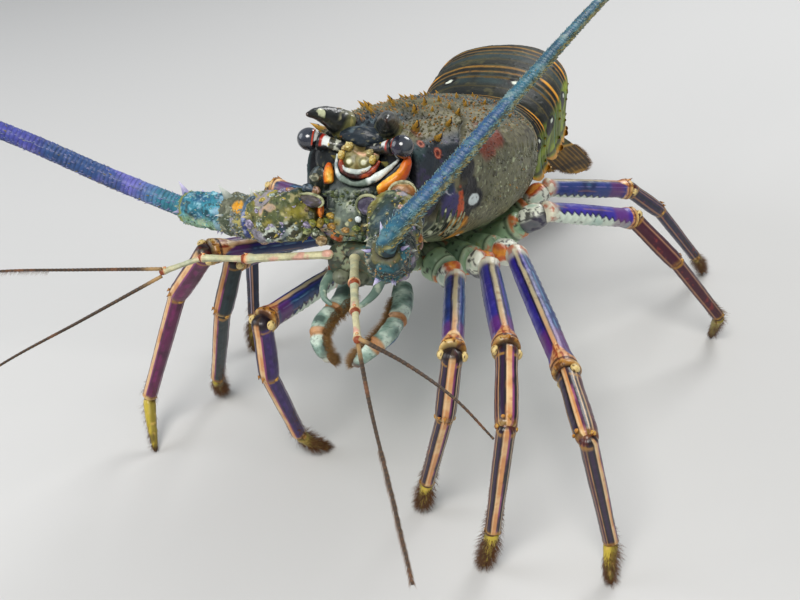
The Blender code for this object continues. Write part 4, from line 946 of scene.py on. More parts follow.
def build_face():
    sh = Shell("shell_face")
    # the block behind the face: rounded, following the head, with the tan plate and the column under it
    ys = np.array([-0.6, -1.4, -2.5, -4.0, -5.5, -7.0, -8.2, -9.2, -10.2, -11.0, -11.6, -12.0])
    half = table({-12.0: 5.6, -11.0: 7.0, -9: 8.2, -5.5: 8.9, -1.4: 9.5, -0.6: 9.5}, ys)
    top = table({-12.0: -9.5, -11.0: -6.6, -9.0: -1.2, -7.0: 2.4, -5.5: 4.2, -1.4: 5.4, -0.6: 5.4}, ys)
    low = table({-12.0: -18.0, -9.0: -19.0, -1.4: -19.5, -0.6: -19.5}, ys)
    rings = []
    n = 132
    th = TAU * np.arange(n) / n
    sx, cz = np.sign(np.sin(th)) * np.abs(np.sin(th)) ** (2 / 2.8), np.sign(np.cos(th)) * np.abs(np.cos(th)) ** (2 / 2.8)
    fine_y = np.concatenate([np.linspace(-0.6, -11.6, 60), np.full(22, -11.9)])
    h = np.interp(fine_y, ys[::-1], half[::-1])
    t = np.interp(fine_y, ys[::-1], top[::-1])
    b = np.interp(fine_y, ys[::-1], low[::-1])
    shrink = np.concatenate([np.ones(60), np.linspace(0.97, 0.06, 22)])
    cx = (t + b) / 2
    X = h[:, None] * sx * shrink[:, None]
    Z = cx[:, None] + ((t - b) / 2)[:, None] * cz * shrink[:, None]
    Y = fine_y[:, None] + 0 * X - 0.9 * (1 - shrink[:, None] ** 2)
    P = np.stack([X, Y, Z], -1)
    nz = fbm(P, 3.5, 3, 111)
    n2 = fbm(P, 1.3, 2, 112)
    # relief: the column stands forward, furrows on both sides of it
    colx = np.exp(-(X / 3.6) ** 2) * smooth(-Z, 3, 5)
    Y = Y - 0.9 * colx - 0.3 * nz - 0.12 * n2 + 0.8 * np.exp(-((np.abs(X) - 4.6) / 0.8) ** 2) * smooth(-Z, 4, 6)
    col = flat(C("2c3634"), X.shape)
    col = paint(col, C("626e62"), smooth(colx, 0.1, 0.5) * 0.95)
    col = paint(col, C("8f9a86"), colx * smooth(n2 + nz, 0.1, 0.5) * 0.8)
    col = paint(col, C("2a2c1c"), colx * smooth(-nz, 0.15, 0.5) * 0.8)
    col = paint(col, C("8a7a2c"), smooth(-Z, 12, 15) * smooth(nz, -0.2, 0.3) * 0.85)
    col = paint(col, C("c9a850"), smooth(-Z, 13, 15.5) * smooth(n2, 0.15, 0.45) * 0.8)
    col = paint(col, C("b9bf9c"), smooth(-Z, 4, 7) * smooth(n2 - nz, 0.45, 0.6) * 0.7)
    sh.grid(body(X, Y, Z), col)
    # the tan plate: two rounded lobes with a hollow between, pale discs in them
    nu, nv = 60, 90
    u = np.linspace(0, 1, nu)[:, None]
    v = np.linspace(-1, 1, nv)[None]
    xc, wid = 1.2, 6.6
    zt = 10.0 - 2.6 * (1 - v ** 2) * np.exp(-((v - 0.1) / 0.38) ** 2) - 2.2 * v ** 4 - 0.8 * v     # upper edge, notched between the bumps
    zb = 1.0 - 1.2 * (1 - v ** 2) + 3.0 * v ** 4                                # lower edge
    Z = zb + (zt - zb) * u
    X = xc + wid * v * (1 - 0.12 * (1 - u) ** 2) + 0 * u
    dome = np.sqrt(np.clip(1 - np.abs(2 * u - 1) ** 2.6, 0, 1)) * np.sqrt(np.clip(1 - np.abs(v) ** 3.0, 0, 1))
    lobes = np.exp(-(((X + 1.7) / 2.1) ** 2 + ((Z - 4.2) / 2.0) ** 2)) + np.exp(-(((X - 3.9) / 2.1) ** 2 + ((Z - 4.2) / 2.0) ** 2))
    brow = np.exp(-((Z - (7.9 - 1.1 * np.exp(-((X - 2.2) / 2.6) ** 2) - 0.12 * X)) / 0.5) ** 2)
    Y = -6.4 + (0.35 * (Z + 0)) * 0.55 - 1.8 * dome - 0.8 * lobes - 0.45 * brow
    P = np.stack([X, Y, Z], -1)
    nz, n2 = fbm(P, 2.6, 3, 113), fbm(P, 0.9, 2, 114)
    Y = Y - 0.18 * nz
    col = flat(C("857a4a"), X.shape)
    col = paint(col, C("b3aa78"), smooth(nz, 0.0, 0.4) * 0.7)
    col = paint(col, C("4f4724"), smooth(-nz, 0.15, 0.5) * 0.75)
    col = paint(col, C("a9a878"), np.clip(lobes, 0, 1) * 0.8)
    for c0 in ((-1.4, 4.2), (3.6, 4.3)):
        d = np.hypot((X - c0[0]), (Z - c0[1]) * 1.05)
        col = paint(col, C("5d5a30"), band(d, 1.45, 0.22, 0.25) * 0.8)
        col = paint(col, C("dfe0c2"), (1 - smooth(d, 0.65, 0.95)) * 0.95)
    col = paint(col, C("d9a48a"), brow * smooth(nz, -0.5, 0.1) * 0.85)
    col = paint(col, C("e3d3a0"), brow * smooth(n2, 0.1, 0.4) * 0.6)
    col = paint(col, C("3a2c14"), smooth(u + 0 * v, 0.94, 1.0) * 0.6)
    col = paint(col, C("6f5a28"), np.exp(-((X - 1.2) / 0.7) ** 2) * (1 - smooth(Z, 3.0, 5.0)) * 0.7)
    back = body(X * 0.86 + xc * 0.14, Y * 0 - 3.6, Z)
    front = body(X, Y, Z)
    ringP = np.concatenate([front, back[:, ::-1]], 1)
    # the back and sides of the plate take the front colours dimmed to 0.4: painted shade
    ringC = np.concatenate([col, col[:, ::-1] * 0.4], 1)
    sh.grid(ringP, ringC)
    # blunt bumps above the plate and yellow corner spines
    for p0, r, c0 in (((-1.9, -7.0, 8.6), (1.4, 1.2, 1.4), "9a8440"), ((5.3, -7.0, 7.2), (1.2, 1.2, 1.2), "8a7a4a"), ((-3.9, -8.0, 6.0), (1.15, 1.1, 1.4), "b99a44"),
                      ((6.7, -8.0, 5.4), (1.1, 1.1, 1.4), "b99c40"), ((-3.4, -7.4, 8.0), (0.8, 0.8, 0.9), "8a6a34")):
        sh.blob(body(*p0), r, [bdir(1, 0, 0), bdir(0, 1, 0), bdir(0, 0, 1)], lambda u, c0=c0: paint(flat(C(c0), u.shape[:2]), C("e6dca0"), smooth(u[..., 2] * 0.3 + fbm(u * 6, 3, 3, 7), -0.05, 0.35) * 0.8), n=24, bump=0.3)
    sh.cones([body(-3.9, -8.2, 6.6), body(6.8, -8.2, 6.0), body(-2.0, -7.6, 9.2), body(5.4, -7.6, 7.8)], [bdir(-0.3, -0.75, 0.7), bdir(0.3, -0.75, 0.7), bdir(-0.1, -0.6, 0.8), bdir(0.1, -0.6, 0.8)],
             [1.5, 1.5, 1.5, 1.1], [0.7, 0.7, 0.75, 0.55], C("a9883c"), C("e6dca0"), n=12, rings=5)
    sh.cones([body(-7.5, -5.0, 4.6), body(9.6, -5.0, 4.0), body(-9.0, -4.0, 7.8), body(10.6, -3.5, 8.4)], [bdir(-0.4, -0.8, 0.4)] * 4, [2.0, 2.0, 1.8, 1.8], [0.8] * 4, C("6a6a3a"), C("8a7a3a"), n=10, rings=4)
    # rust and pale bands hugging the lower edge of the plate
    rust = bpath([(-4.4, -7.0, 6.0), (-4.0, -8.0, 3.8), (-2.8, -9.0, 1.7), (-0.2, -9.5, 0.6), (2.4, -9.4, 0.4), (5.6, -8.8, 1.2), (7.6, -7.8, 3.0), (8.4, -6.8, 5.0)], 90)
    f = np.linspace(0, 1, 90)
    r = 1.25 * np.clip(np.sin(math.pi * np.clip(f, 0.02, 0.98)), 0.12, 1) ** 0.45
    tube(sh, rust, r * 0.9, r, marbled(C("7c2a18"), C("c05a2a"), 1.6, 0.8, 0.0, 0.3, 5, lambda k, f, th, P, n: paint(k, C("140b0a"), band(f, 0.45, 0.12, 0.07) * 0.9)), up=bdir(0, 0, 1), n=32, disp=lambda f, th, P, s: 0.3 * fbm(P, 1.5, 3, 8))
    pale = bpath([(-2.8, -9.2, 3.0), (-1.6, -10.1, 2.1), (0.8, -10.6, 1.7), (3.4, -10.5, 1.7), (5.6, -9.8, 2.5), (6.6, -9.0, 3.5)], 70)
    f = np.linspace(0, 1, 70)
    r = 0.8 * np.clip(np.sin(math.pi * np.clip(f, 0.02, 0.98)), 0.1, 1) ** 0.4
    tube(sh, pale, r * 0.8, r, marbled(C("c3cdc8"), C("d9ccb4"), 1.6, 0.8, 0.0, 0.4, 9, lambda k, f, th, P, n: paint(k, C("a5604a"), smooth(fbm(P, 1.0, 2, 10), 0.3, 0.5) * 0.7)), up=bdir(0, 0, 1), n=28, disp=lambda f, th, P, s: 0.1 * fbm(P, 1.2, 2, 11))
    # white arc below them, open to the left eye
    white = bpath([(-5.8, -6.8, 6.0), (-5.8, -7.6, 3.8), (-5.2, -8.6, 1.5), (-3.6, -9.8, -0.4), (-0.8, -10.7, -1.5), (1.8, -11.0, -2.1), (5.0, -10.2, -1.7), (8.2, -9.0, 0.1), (11.0, -7.8, 2.2), (13.2, -6.6, 4.2), (14.6, -6.0, 6.0)], 150)
    f = np.linspace(0, 1, 150)
    r = (1.05 + 0.25 * np.exp(-((f - 0.72) / 0.12) ** 2) - 0.25 * np.exp(-((f - 0.45) / 0.08) ** 2)) * np.clip(np.sin(math.pi * np.clip(f, 0.015, 0.985)), 0.1, 1) ** 0.35
    # the dark green on the underside of the white arc is painted shade
    tube(sh, white, r * 0.7, r, marbled(C("bcc6c0"), C("6f8288"), 2.0, 0.8, 0.1, 0.4, 12, lambda k, f, th, P, n: paint(paint(paint(k, C("5f6f62"), band(f + 0.03 * n, 0.45, 0.13, 0.06) * 0.9), C("2c382e"), smooth(np.abs(th), 105, 140) * 0.8), C("e6efea"), (band(f, 0.12, 0.08, 0.05) + band(f, 0.72, 0.09, 0.05)) * smooth(-n, -0.3, 0.1) * 0.8)),
         up=bdir(0, 0, 1), n=36, disp=lambda f, th, P, s: 0.32 * fbm(P, 1.7, 3, 13))
    # dark cup between the white arc and the orange one
    cup = bpath([(7.0, -7.4, -3.3), (9.5, -6.6, -1.4), (12.2, -5.6, 1.2), (14.6, -4.8, 4.0), (16.0, -4.4, 6.2)], 70)
    f = np.linspace(0, 1, 70)
    r = 1.5 * np.clip(np.sin(math.pi * np.clip(f, 0.03, 0.97)), 0.1, 1) ** 0.5
    tube(sh, cup, r, r, marbled(C("15191f"), C("3a4a58"), 2, 0.6, 0.1, 0.5, 14), up=bdir(0, 0, 1), n=24)
    # the orange-gold crescent under each eye
    for s, pts, wide in ((1, [(16.6, -5.2, 7.4), (17.1, -5.8, 5.2), (16.7, -6.6, 2.8), (15.4, -7.4, 0.5), (13.4, -8.4, -1.5), (11.4, -9.2, -3.1), (9.8, -9.9, -4.6)], 2.35),
                         (-1, [(-8.5, -7.0, 3.0), (-8.4, -7.6, 1.4), (-8.2, -8.2, -0.4), (-7.8, -8.7, -2.0), (-7.5, -9.0, -3.2)], 2.2)):
        p = bpath(pts, 110)
        f = np.linspace(0, 1, 110)
        r = wide * np.clip(np.sin(math.pi * np.clip(0.06 + 0.62 * f, 0.02, 0.98)), 0.12, 1) ** 0.6 * np.sqrt(np.clip(1 - (1 - np.clip((1 - f) * 10.0, 0, 1)) ** 2, 0.02, 1))

        def orange(f, th, P, s_):
            n1, n2 = fbm(P, 2.4, 3, 15), fbm(P, 0.9, 2, 16)
            k = flat(C("d2720f"), f.shape)
            k = paint(k, C("f0a028"), (1 - smooth(np.abs(th + 14 * n1), 20, 62)) * smooth(f, 0.12, 0.4) * 0.95)
            k = paint(k, C("f6cf58"), (1 - smooth(np.abs(th + 20 * n1), 8, 34)) * smooth(f, 0.35, 0.6) * smooth(n2, -0.35, 0.1) * 0.85)
            k = paint(k, C("b8400c"), smooth(np.abs(th + 12 * n1), 66, 92) * 0.85)
            k = paint(k, C("c24a10"), (1 - smooth(f + 0.1 * n1, 0.10, 0.35)) * 0.7)
            k = paint(k, C("a85a14"), smooth(n2, 0.3, 0.5) * 0.4)
            # near-black on the rear, lower side facing the head: painted shade
            k = paint(k, C("2e0e06"), smooth(np.abs(th), 108, 140) * 0.9)
            return k
        tube(sh, p, r * 0.75, r, orange, up=bdir(-0.55 * s, -0.75, 0.5), n=44, power=2.4, disp=lambda f, th, P, s_: 0.25 * fbm(P, 1.8, 3, 17))
    # dark lobes with a pale rim beside the column, and the brown bowl outside
    for c0, r0, rim, c1, s in (((9.6, -16.0, -7.4), (3.8, 1.8, 3.0), (4.3, 1.2, 3.9), "3a3348", 1), ((-11.8, -13.4, -8.3), (4.6, 1.9, 2.1), (3.6, 1.2, 3.6), "4c453f", -1)):
        ax = [bdir(1, 0, 0), bdir(0, 1, 0), bdir(0, 0, 1)]
        sh.blob(body(*c0), r0, ax, lambda u, c1=c1: paint(paint(flat(C(c1), u.shape[:2]), C("837a96"), smooth(fbm(u * 6, 3, 3, 18), 0.1, 0.45) * 0.7), C("12121c"), smooth(fbm(u * 9, 3, 2, 19), 0.25, 0.5) * 0.6), n=34, bump=0.10, seed=4)
        an = np.linspace(0, TAU * 0.62, 70) + (0.1 if s > 0 else math.pi - TAU * 0.62 - 0.1)
        ring = np.stack([c0[0] + r0[0] * 1.06 * np.cos(an), c0[1] - 0.6 + 0 * an, c0[2] + r0[2] * 1.08 * np.sin(an)], 1)
        rr = 0.5 * np.sin(np.linspace(0.12, math.pi - 0.12, 70)) ** 0.5
        tube(sh, body(ring[:, 0], ring[:, 1], ring[:, 2]), rr, rr, marbled(C("a9ab84"), C("55603f"), 1.5, 0.8, 0.1, 0.4, 21), up=bdir(0, -1, 0), n=18)
    # the brown bowl with its pale rim on the left antenna base; small lumps on the right one
    ax = [unit(bdir(0.93, 0.36, 0.05)), unit(bdir(0.36, -0.9, 0.25)), unit(bdir(-0.1, 0.25, 0.96))]
    c0 = body(19.2, -13.6, -3.0)

    def bowl(u):
        n1, n2 = fbm(u * 6, 4, 3, 22), fbm(u * 6, 2, 2, 23)
        k = paint(flat(C("8a5a2c"), u.shape[:2]), C("b98a58"), smooth(n1, -0.1, 0.35) * 0.85)
        k = paint(k, C("4a2410"), smooth(-n1, 0.1, 0.4) * 0.8)
        hollow = np.hypot((u[..., 0] + 0.35) / 0.28, (u[..., 2] + 0.1) / 0.5)
        k = paint(k, C("140c08"), (1 - smooth(hollow + 0.3 * n2, 0.7, 1.1)) * 0.95)
        k = paint(k, C("c5bd94"), smooth(u[..., 2] - 0.2 * n1, 0.62, 0.78) * 0.8)
        return k
    sh.blob(c0, (4.0, 1.8, 3.2), ax, bowl, n=40, bump=0.16, seed=6)
    an = np.linspace(0.02 * math.pi, 1.12 * math.pi, 80)
    rr = 0.5 * np.sin(np.linspace(0.12, math.pi - 0.12, 80)) ** 0.5
    ring = c0 + np.outer(4.1 * np.cos(an), ax[0]) + ax[1] * 0.7 + np.outer(3.4 * np.sin(an), ax[2])
    tube(sh, ring, rr, rr, marbled(C("b3b08c"), C("55583a"), 1.5, 0.8, 0.1, 0.4, 24), up=ax[1], n=18, disp=lambda f, th, P, s: 0.15 * fbm(P, 1.2, 2, 25))
    for (x, y, z), r, c1, c2 in (((-12.2, -9.4, -1.6), (1.8, 1.5, 1.4), "5c5f4c", "b5b59a"), ((-14.0, -10.6, -5.0), (2.1, 1.6, 1.6), "2c3c48", "6f7f8c"), ((-11.4, -10.4, -5.6), (1.5, 1.3, 1.5), "8a6a4a", "d5b0a0"),
                                 ((-10.4, -9.6, -11.0), (1.3, 1.3, 2.2), "a04f18", "e08a3a"), ((12.6, -15.4, -11.0), (2.2, 1.5, 1.8), "5b6a4a", "a9b48c"), ((11.0, -15.2, -13.6), (1.5, 1.2, 1.3), "1f5a66", "58a0a0"),
                                 ((14.6, -16.6, -8.4), (2.4, 1.4, 1.2), "1f6a60", "4fa090"), ((-13.0, -12.6, -13.2), (1.6, 1.4, 1.5), "8a80a0", "d5c8e0"), ((-15.0, -14.0, -9.0), (1.5, 1.4, 1.3), "c9a8a8", "eed8d0"), ((-8.8, -10.6, -14.6), (1.3, 1.2, 1.2), "6a6a2c", "c0b050")):
        sh.blob(body(x, y, z), r, [bdir(1, 0, 0), bdir(0, 1, 0), bdir(0, 0, 1)], lambda u, c1=c1, c2=c2: paint(paint(flat(C(c1), u.shape[:2]), C(c2), smooth(fbm(u * 6, 3, 3, 26), 0.0, 0.35) * 0.85), C("101210"), smooth(-fbm(u * 6, 4, 2, 27), 0.25, 0.5) * 0.7), n=18, bump=0.25, seed=int(abs(x * 10)))
    for (x, y, z), r, c1, c2 in (((-15.6, -15.2, -8.6), (1.6, 1.3, 1.5), "1a2a40", "3f5a74"), ((-14.4, -16.2, -11.8), (1.3, 1.1, 1.2), "c9b4a8", "f0e2da"), ((-13.4, -15.6, -14.2), (1.6, 1.3, 1.4), "1c241c", "3f4a3a"),
                                 ((-8.3, -12.8, -10.8), (0.95, 1.0, 2.5), "b8561a", "e88a34"), ((-10.8, -14.0, -15.2), (1.7, 1.3, 1.4), "6a7028", "b5b050"), ((-11.8, -15.2, -17.4), (1.5, 1.2, 1.2), "5a6a34", "c3c98c"),
                                 ((-9.4, -14.2, -17.8), (1.3, 1.1, 1.2), "4f5a3c", "dfe6d0"), ((-7.0, -14.4, -20.2), (2.0, 1.1, 1.7), "7a6038", "cdb88c"), ((-14.6, -16.6, -17.4), (1.3, 1.0, 1.1), "8a6f64", "d9bcae"),
                                 ((-8.2, -13.4, -15.0), (1.2, 1.0, 1.6), "7a6a24", "b9a040"), ((-12.4, -15.2, -11.0), (1.2, 1.1, 1.0), "6a5a3c", "b9a684"), ((-11.2, -14.2, -12.6), (1.3, 1.1, 1.3), "4c5040", "8a8f78")):
        sh.blob(body(x, y, z), r, [bdir(1, 0, 0), bdir(0, 1, 0), bdir(0, 0, 1)], lambda u, c1=c1, c2=c2: paint(paint(flat(C(c1), u.shape[:2]), C(c2), smooth(fbm(u * 6, 3, 3, 46), -0.05, 0.3) * 0.85), C("101210"), smooth(-fbm(u * 6, 4, 2, 47), 0.25, 0.5) * 0.6), n=20, bump=0.28, seed=int(abs(x * 13)))
    # the dark front wall between horns, eyes and plate
    for (x, y, z), r, c1 in (((0.6, -2.6, 11.4), (7.6, 3.4, 3.4), "1a2630"), ((-10.5, -2.4, 3.5), (5.0, 2.6, 6.5), "141a1c"), ((11.8, -2.2, 5.0), (5.4, 2.6, 5.5), "161c22"), ((-13.0, -3.0, -3.5), (4.6, 2.6, 5.0), "20281f"), ((13.5, -3.6, -3.5), (4.8, 2.8, 5.0), "1c2422")):
        sh.blob(body(x, y, z), r, [bdir(1, 0, 0), bdir(0, 1, 0), bdir(0, 0, 1)], lambda u, c1=c1: paint(paint(flat(C(c1), u.shape[:2]), C("5f7078"), smooth(fbm(u * 9, 3, 3, 28), 0.15, 0.4) * 0.55), C("8f8a68"), smooth(fbm(u * 9, 2, 2, 29), 0.42, 0.55) * 0.5), n=40, bump=0.12, seed=8)
    m = 120
    x, z = RNG.uniform(-17, 18, m), RNG.uniform(-4, 12, m)
    ok = (np.abs(x - 0.7) > 8.6) | (z > 10.5)
    x, z = x[ok], z[ok]
    tone = RNG.random((len(x), 1))
    c0 = np.where(tone < 0.5, C("3a4238"), np.where(tone < 0.92, C("6a6a44"), C("8a5a2a")))
    sh.cones(body(x, -4.6 + 0.012 * x * x, z), [bdir(0, -1, 0.2)] * len(x), RNG.uniform(0.6, 1.5, len(x)), RNG.uniform(0.3, 0.5, len(x)), c0, np.clip(c0 * 1.6 + 0.04, 0, 0.7), n=8, rings=4)
    sh.blob(body(4.8, -13.4, -12.4), (1.05, 0.8, 1.0), np.eye(3), C("e9f2f2"), n=12, bump=0.05)
    for x, z, r, c1, c2 in ((-5.2, -12.6, 1.3, "8a7024", "d9b44a"), (-1.0, -13.0, 1.2, "7a6424", "c9a444"), (1.6, -12.8, 1.1, "6a5a24", "d9b860"), (-4.6, -15.8, 1.5, "7a5a20", "c99a4a"), (0.4, -16.2, 1.4, "8a6a34", "d9a860"), (-2.2, -14.6, 1.0, "3a3418", "8a7a3a"), (3.6, -15.6, 1.3, "5a6a34", "a9a45a"), (-7.0, -14.4, 1.2, "4a5a2c", "9aa040")):
        sh.blob(body(x, -12.2 - 0.4 * math.exp(-(x / 4) ** 2) + 0.02 * x * x, z), (r * 1.2, r * 0.9, r * 0.8), [bdir(1, 0, 0), bdir(0, 1, 0), bdir(0, 0, 1)], lambda u, c1=c1, c2=c2: paint(flat(C(c1), u.shape[:2]), C(c2), smooth(fbm(u * 6, 3, 3, 37), -0.05, 0.3) * 0.85), n=18, bump=0.22, seed=int(abs(x * 7) + 3))
    # bumps and short spines over the whole front, most at the lower corners
    m = 190
    x = RNG.uniform(-9, 9, m)
    z = RNG.uniform(-19, -4, m)
    y = -11.4 - 0.9 * np.exp(-(x / 3.6) ** 2) + 2.6 * smooth(np.abs(x), 4.5, 9)
    tone = RNG.random((m, 1))
    c0 = np.where(tone < 0.25, C("4f5a34"), np.where(tone < 0.7, C("3f4a40"), C("767f6c")))
    sh.cones(body(x, y, z), bdir(x * 0.05, -1 + 0 * x, 0.15 + 0 * x), RNG.uniform(0.5, 1.5, m), RNG.uniform(0.3, 0.6, m), c0, np.clip(c0 * 1.5 + 0.03, 0, 0.6), n=8, rings=4, bend=bdir(0, 0, 0.2))
    return sh.make([M_FACE], "antennular_plate")


FORE = bdir(0.369, -0.894, 0.254)   # towards the viewer's side of the head


def build_horns_eyes():
    for s, side in ((1, "left"), (-1, "right")):
        sh = Shell("shell_horn_" + side)
        n = 150
        path = bpath([(s * 7.6, 1.2, 14.0), (s * 8.5, -1.5, 15.6), (s * 10.2, -5.6, 17.3), (s * 11.8, -9.8, 18.2), (s * 13.3, -14.0, 18.1)], n)
        f = np.linspace(0, 1, n)
        t = np.clip((f - 0.08) / 0.92, 0, 1)
        ra = (3.7 * (1 - t) ** 0.75 + 0.30) * (1 + 0.10 * np.exp(-(f / 0.12) ** 2))
        rb = (4.2 * (1 - t) ** 0.75 + 0.30) * (1 + 0.10 * np.exp(-(f / 0.12) ** 2))
        ra[-4:] *= [0.9, 0.7, 0.45, 0.15]
        rb[-4:] *= [0.9, 0.7, 0.45, 0.15]

        def horn(f, th, P, s_):
            n1, n2 = fbm(P, 4, 3, 121), fbm(P, 1.3, 2, 122)
            k = flat(C("1b1f1e"), f.shape)
            k = paint(k, C("4a5040"), smooth(n1, 0.05, 0.5) * 0.7)
            k = paint(k, C("6b6a3c"), (1 - smooth(f + 0.05 * n1, 0.12, 0.25)) * 0.9)
            k = paint(k, C("a89a5a"), (1 - smooth(f + 0.05 * n2, 0.08, 0.2)) * smooth(n2, 0.0, 0.35) * 0.8)
            seen = unit(P - P.mean(axis=1, keepdims=True)) @ FORE
            k = paint(k, C("5a5a44"), smooth(n1 + n2, 0.3, 0.7) * 0.6)
            k = paint(k, C("b9b48a"), band(f + 0.12 * n1, 0.34, 0.03, 0.02) * smooth(seen + 0.5 * n1, 0.5, 0.7) * 0.7)
            k = paint(k, C("d3d8b0"), band(f + 0.16 * n1, 0.70, 0.055, 0.02) * smooth(seen + 0.5 * n1, 0.45, 0.62) * 0.95)
            k = paint(k, C("7f9040"), band(f + 0.16 * n1, 0.66, 0.02, 0.02) * smooth(seen + 0.5 * n1, 0.45, 0.62) * smooth(n2, -0.1, 0.25) * 0.8)
            k = paint(k, C("14110f"), smooth(f, 0.88, 0.92))
            k = paint(k, C("4a2a18"), smooth(f, 0.965, 0.985) * 0.5)
            return k
        tube(sh, path, ra, rb, horn, side=bdir(1, 0, 0), n=64, disp=lambda f, th, P, s_: 0.16 * fbm(P, 1.6, 3, 123) * (1 - smooth(f, 0.8, 1.0)) + 0.25 * smooth(vnoise(P / 1.8, 124), 0.3, 0.7) * (1 - smooth(f, 0.25, 0.6)))
        # small spines along the horn's upper edge
        q = path[[14, 26, 38]]
        sh.cones(q + bdir(0, 0, 1) * np.array([[3.9], [3.5], [3.1]]), [bdir(0, -0.8, 0.7)] * 3, [1.7, 1.4, 1.1], [0.7, 0.6, 0.5], C("5a5a3a"), C("d9a83a"), n=10, rings=4)
        q = path[[20, 34]] + bdir(s, 0, 0.2) * np.array([[3.3], [2.9]])
        sh.cones(q, [bdir(s * 0.7, -0.8, 0.3)] * 2, [1.3, 1.0], [0.6, 0.5], C("5a5a3a"), C("d9c08a"), n=8, rings=4)
        sh.make([M_HORN], "horn_" + side)

        sh = Shell("shell_eyestalk_" + side)
        p = bpath([(s * 3.4, -3.6, 8.0), (s * 6.0, -4.8, 8.3), (s * 8.0, -5.3, 8.6), (s * 11.5, -6.0, 9.2), (s * 12.9, -6.3, 9.5)], 60)
        f = np.linspace(0, 1, 60)
        r = table({0: 1.6, 0.3: 1.9, 0.6: 2.1, 0.85: 2.7, 0.95: 2.95, 1: 2.8}, f)

        def stalk(f, th, P, s_):
            n1, n2 = fbm(P, 2.5, 3, 131), fbm(P, 1.0, 2, 132)
            k = flat(C("15171b"), f.shape)
            k = paint(k, C("4a4a3a"), smooth(n1, 0.15, 0.45) * 0.7)
            seen = unit(P - P.mean(axis=1, keepdims=True)) @ unit(FORE + bdir(0, 0, 0.75))
            front = smooth(seen + 0.4 * n1, 0.25, 0.5)
            k = paint(k, C("e8eeea"), band(f + 0.10 * n1, 0.74, 0.085, 0.02) * smooth(seen + 0.6 * n1, 0.45, 0.62) * 0.98)
            k = paint(k, C("a8280f"), band(f + 0.05 * n1, 0.865, 0.03, 0.03) * front * 0.95)
            k = paint(k, C("d8b84a"), band(f + 0.05 * n1, 0.60, 0.03, 0.03) * front * smooth(n2, 0.0, 0.2) * 0.8)
            k = paint(k, C("cfd2c0"), band(f + 0.06 * n2, 0.36, 0.05, 0.04) * smooth(n1, 0.0, 0.2) * 0.8)
            return k
        tube(sh, p, r, r * 0.95, stalk, up=bdir(0, 0, 1), n=48, disp=lambda f, th, P, s_: 0.12 * fbm(P, 1.2, 2, 133))
        sh.make([M_HORN], "eyestalk_" + side)

        sh = Shell("shell_eye_" + side)
        c, axis = body(s * 15.7, -7.0, 9.9), unit(bdir(s * 1, -0.35, 0.1))
        a1 = unit(np.cross(axis, V(0, 0, 1)))
        a2 = np.cross(axis, a1)
        ang = np.linspace(math.pi * 0.97, 0.01, 120)[:, None]
        ph = (TAU * np.arange(180) / 180)[None]
        hexg = 0.5 + 0.5 * np.cos(ang * 62) * np.cos(ph * 90)
        rim = smooth(ang, 1.95, 2.15)
        R = 3.75 * (1 - 0.10 * rim)
        P = c + (axis * np.cos(ang)[..., None] * 1.03 + (a1 * np.cos(ph)[..., None] + a2 * np.sin(ph)[..., None]) * np.sin(ang)[..., None] * 0.97) * R[..., None]
        nz = fbm(P, 3.0, 3, 141)
        k = flat(C("20222e"), P.shape[:2])
        k = paint(k, C("3f4652"), smooth(nz, -0.1, 0.5) * 0.7)
        k = paint(k, C("2a1f3c"), smooth(-nz, 0.0, 0.5) * 0.7)
        k = paint(k, C("565b58"), (1 - smooth(ang + 0.3 * nz, 0.5, 1.1)) * 0.45)
        k = paint(k, C("0c0d12"), hexg * 0.25)
        k = paint(k, C("101216"), rim * 0.9)
        k = paint(k, C("e3e6e0"), rim * smooth(unit(P - c) @ unit(FORE + bdir(0, 0, 0.9)) + 0.4 * nz, 0.45, 0.6) * 0.9)
        k = paint(k, C("c8401c"), band(ang, 1.93, 0.05, 0.04) * 0.9 * smooth(unit(P - c) @ unit(FORE + bdir(0, 0, 0.6)) + 0.3 * nz, 0.3, 0.5))
        sh.grid(P, k)
        sh.make([M_EYE], "eye_" + side)


build_face()
build_horns_eyes()


# ================================================================== antennae
PEDUNCLE = {
    "right": [body(-15.8, -12.4, -13.2), V(-32.0, -15.0, 99.9), V(-43.5, -14.0, 99.8), V(-61.5, -13.0, 99.8)],
    "left": [body(16.8, -12.4, -9.0), V(22.0, -29.0, 102.6), V(25.2, -39.6, 104.2), V(27.5, -46.3, 111.6)],
}
FLAGELLUM = {
    "right": [V(-61.5, -13.0, 99.8), V(-66.5, -13.2, 101.2), V(-88, -16.5, 110), V(-115, -27.0, 127), V(-160, -46, 152), V(-230, -76, 182), V(-310, -100, 200), V(-385, -112, 206)],
    "left": [V(27.5, -46.3, 111.6), V(28.8, -46.6, 114.9), V(30.0, -42.5, 117.2), V(31.0, -33.5, 118.0), V(32.2, -15.5, 119.0), V(34.2, 8.0, 121.6), V(39.0, 45.0, 127.5), V(50.0, 112.0, 139.5), V(66, 215, 151), V(88, 325, 153)],
}


def antenna_spines(sh, p, T, m, rad, lo, hi, rows, length, colours, forward=0.75, up=None):
    """Spines in loose rows round a peduncle length; p, T its path and directions."""
    f = RNG.uniform(lo, hi, m)
    th = RNG.choice(rows, m) + RNG.normal(0, 10, m) if rows is not None else RNG.uniform(-180, 180, m)
    i = np.clip((f * (len(p) - 1)).astype(int), 0, len(p) - 1)
    t = T[i]
    ref = V(0, 0, 1) if up is None else up
    a = unit(np.cross(t, np.broadcast_to(ref, t.shape)))
    b = np.cross(a, t)
    o = a * np.sin(np.radians(th))[:, None] + b * np.cos(np.radians(th))[:, None]
    r = np.interp(f, np.linspace(0, 1, len(rad)), rad)
    ln = RNG.uniform(length[0], length[1], m)
    tone = RNG.integers(0, len(colours), m)
    c0 = np.array([C(colours[k][0]) for k in tone])
    c1 = np.array([C(colours[k][1]) for k in tone])
    sh.cones(p[i] + o * (r - 0.1)[:, None], unit(o + t * forward), ln, 0.24 * ln + 0.22, c0, c1, n=9, rings=5, bend=t * 0.18)


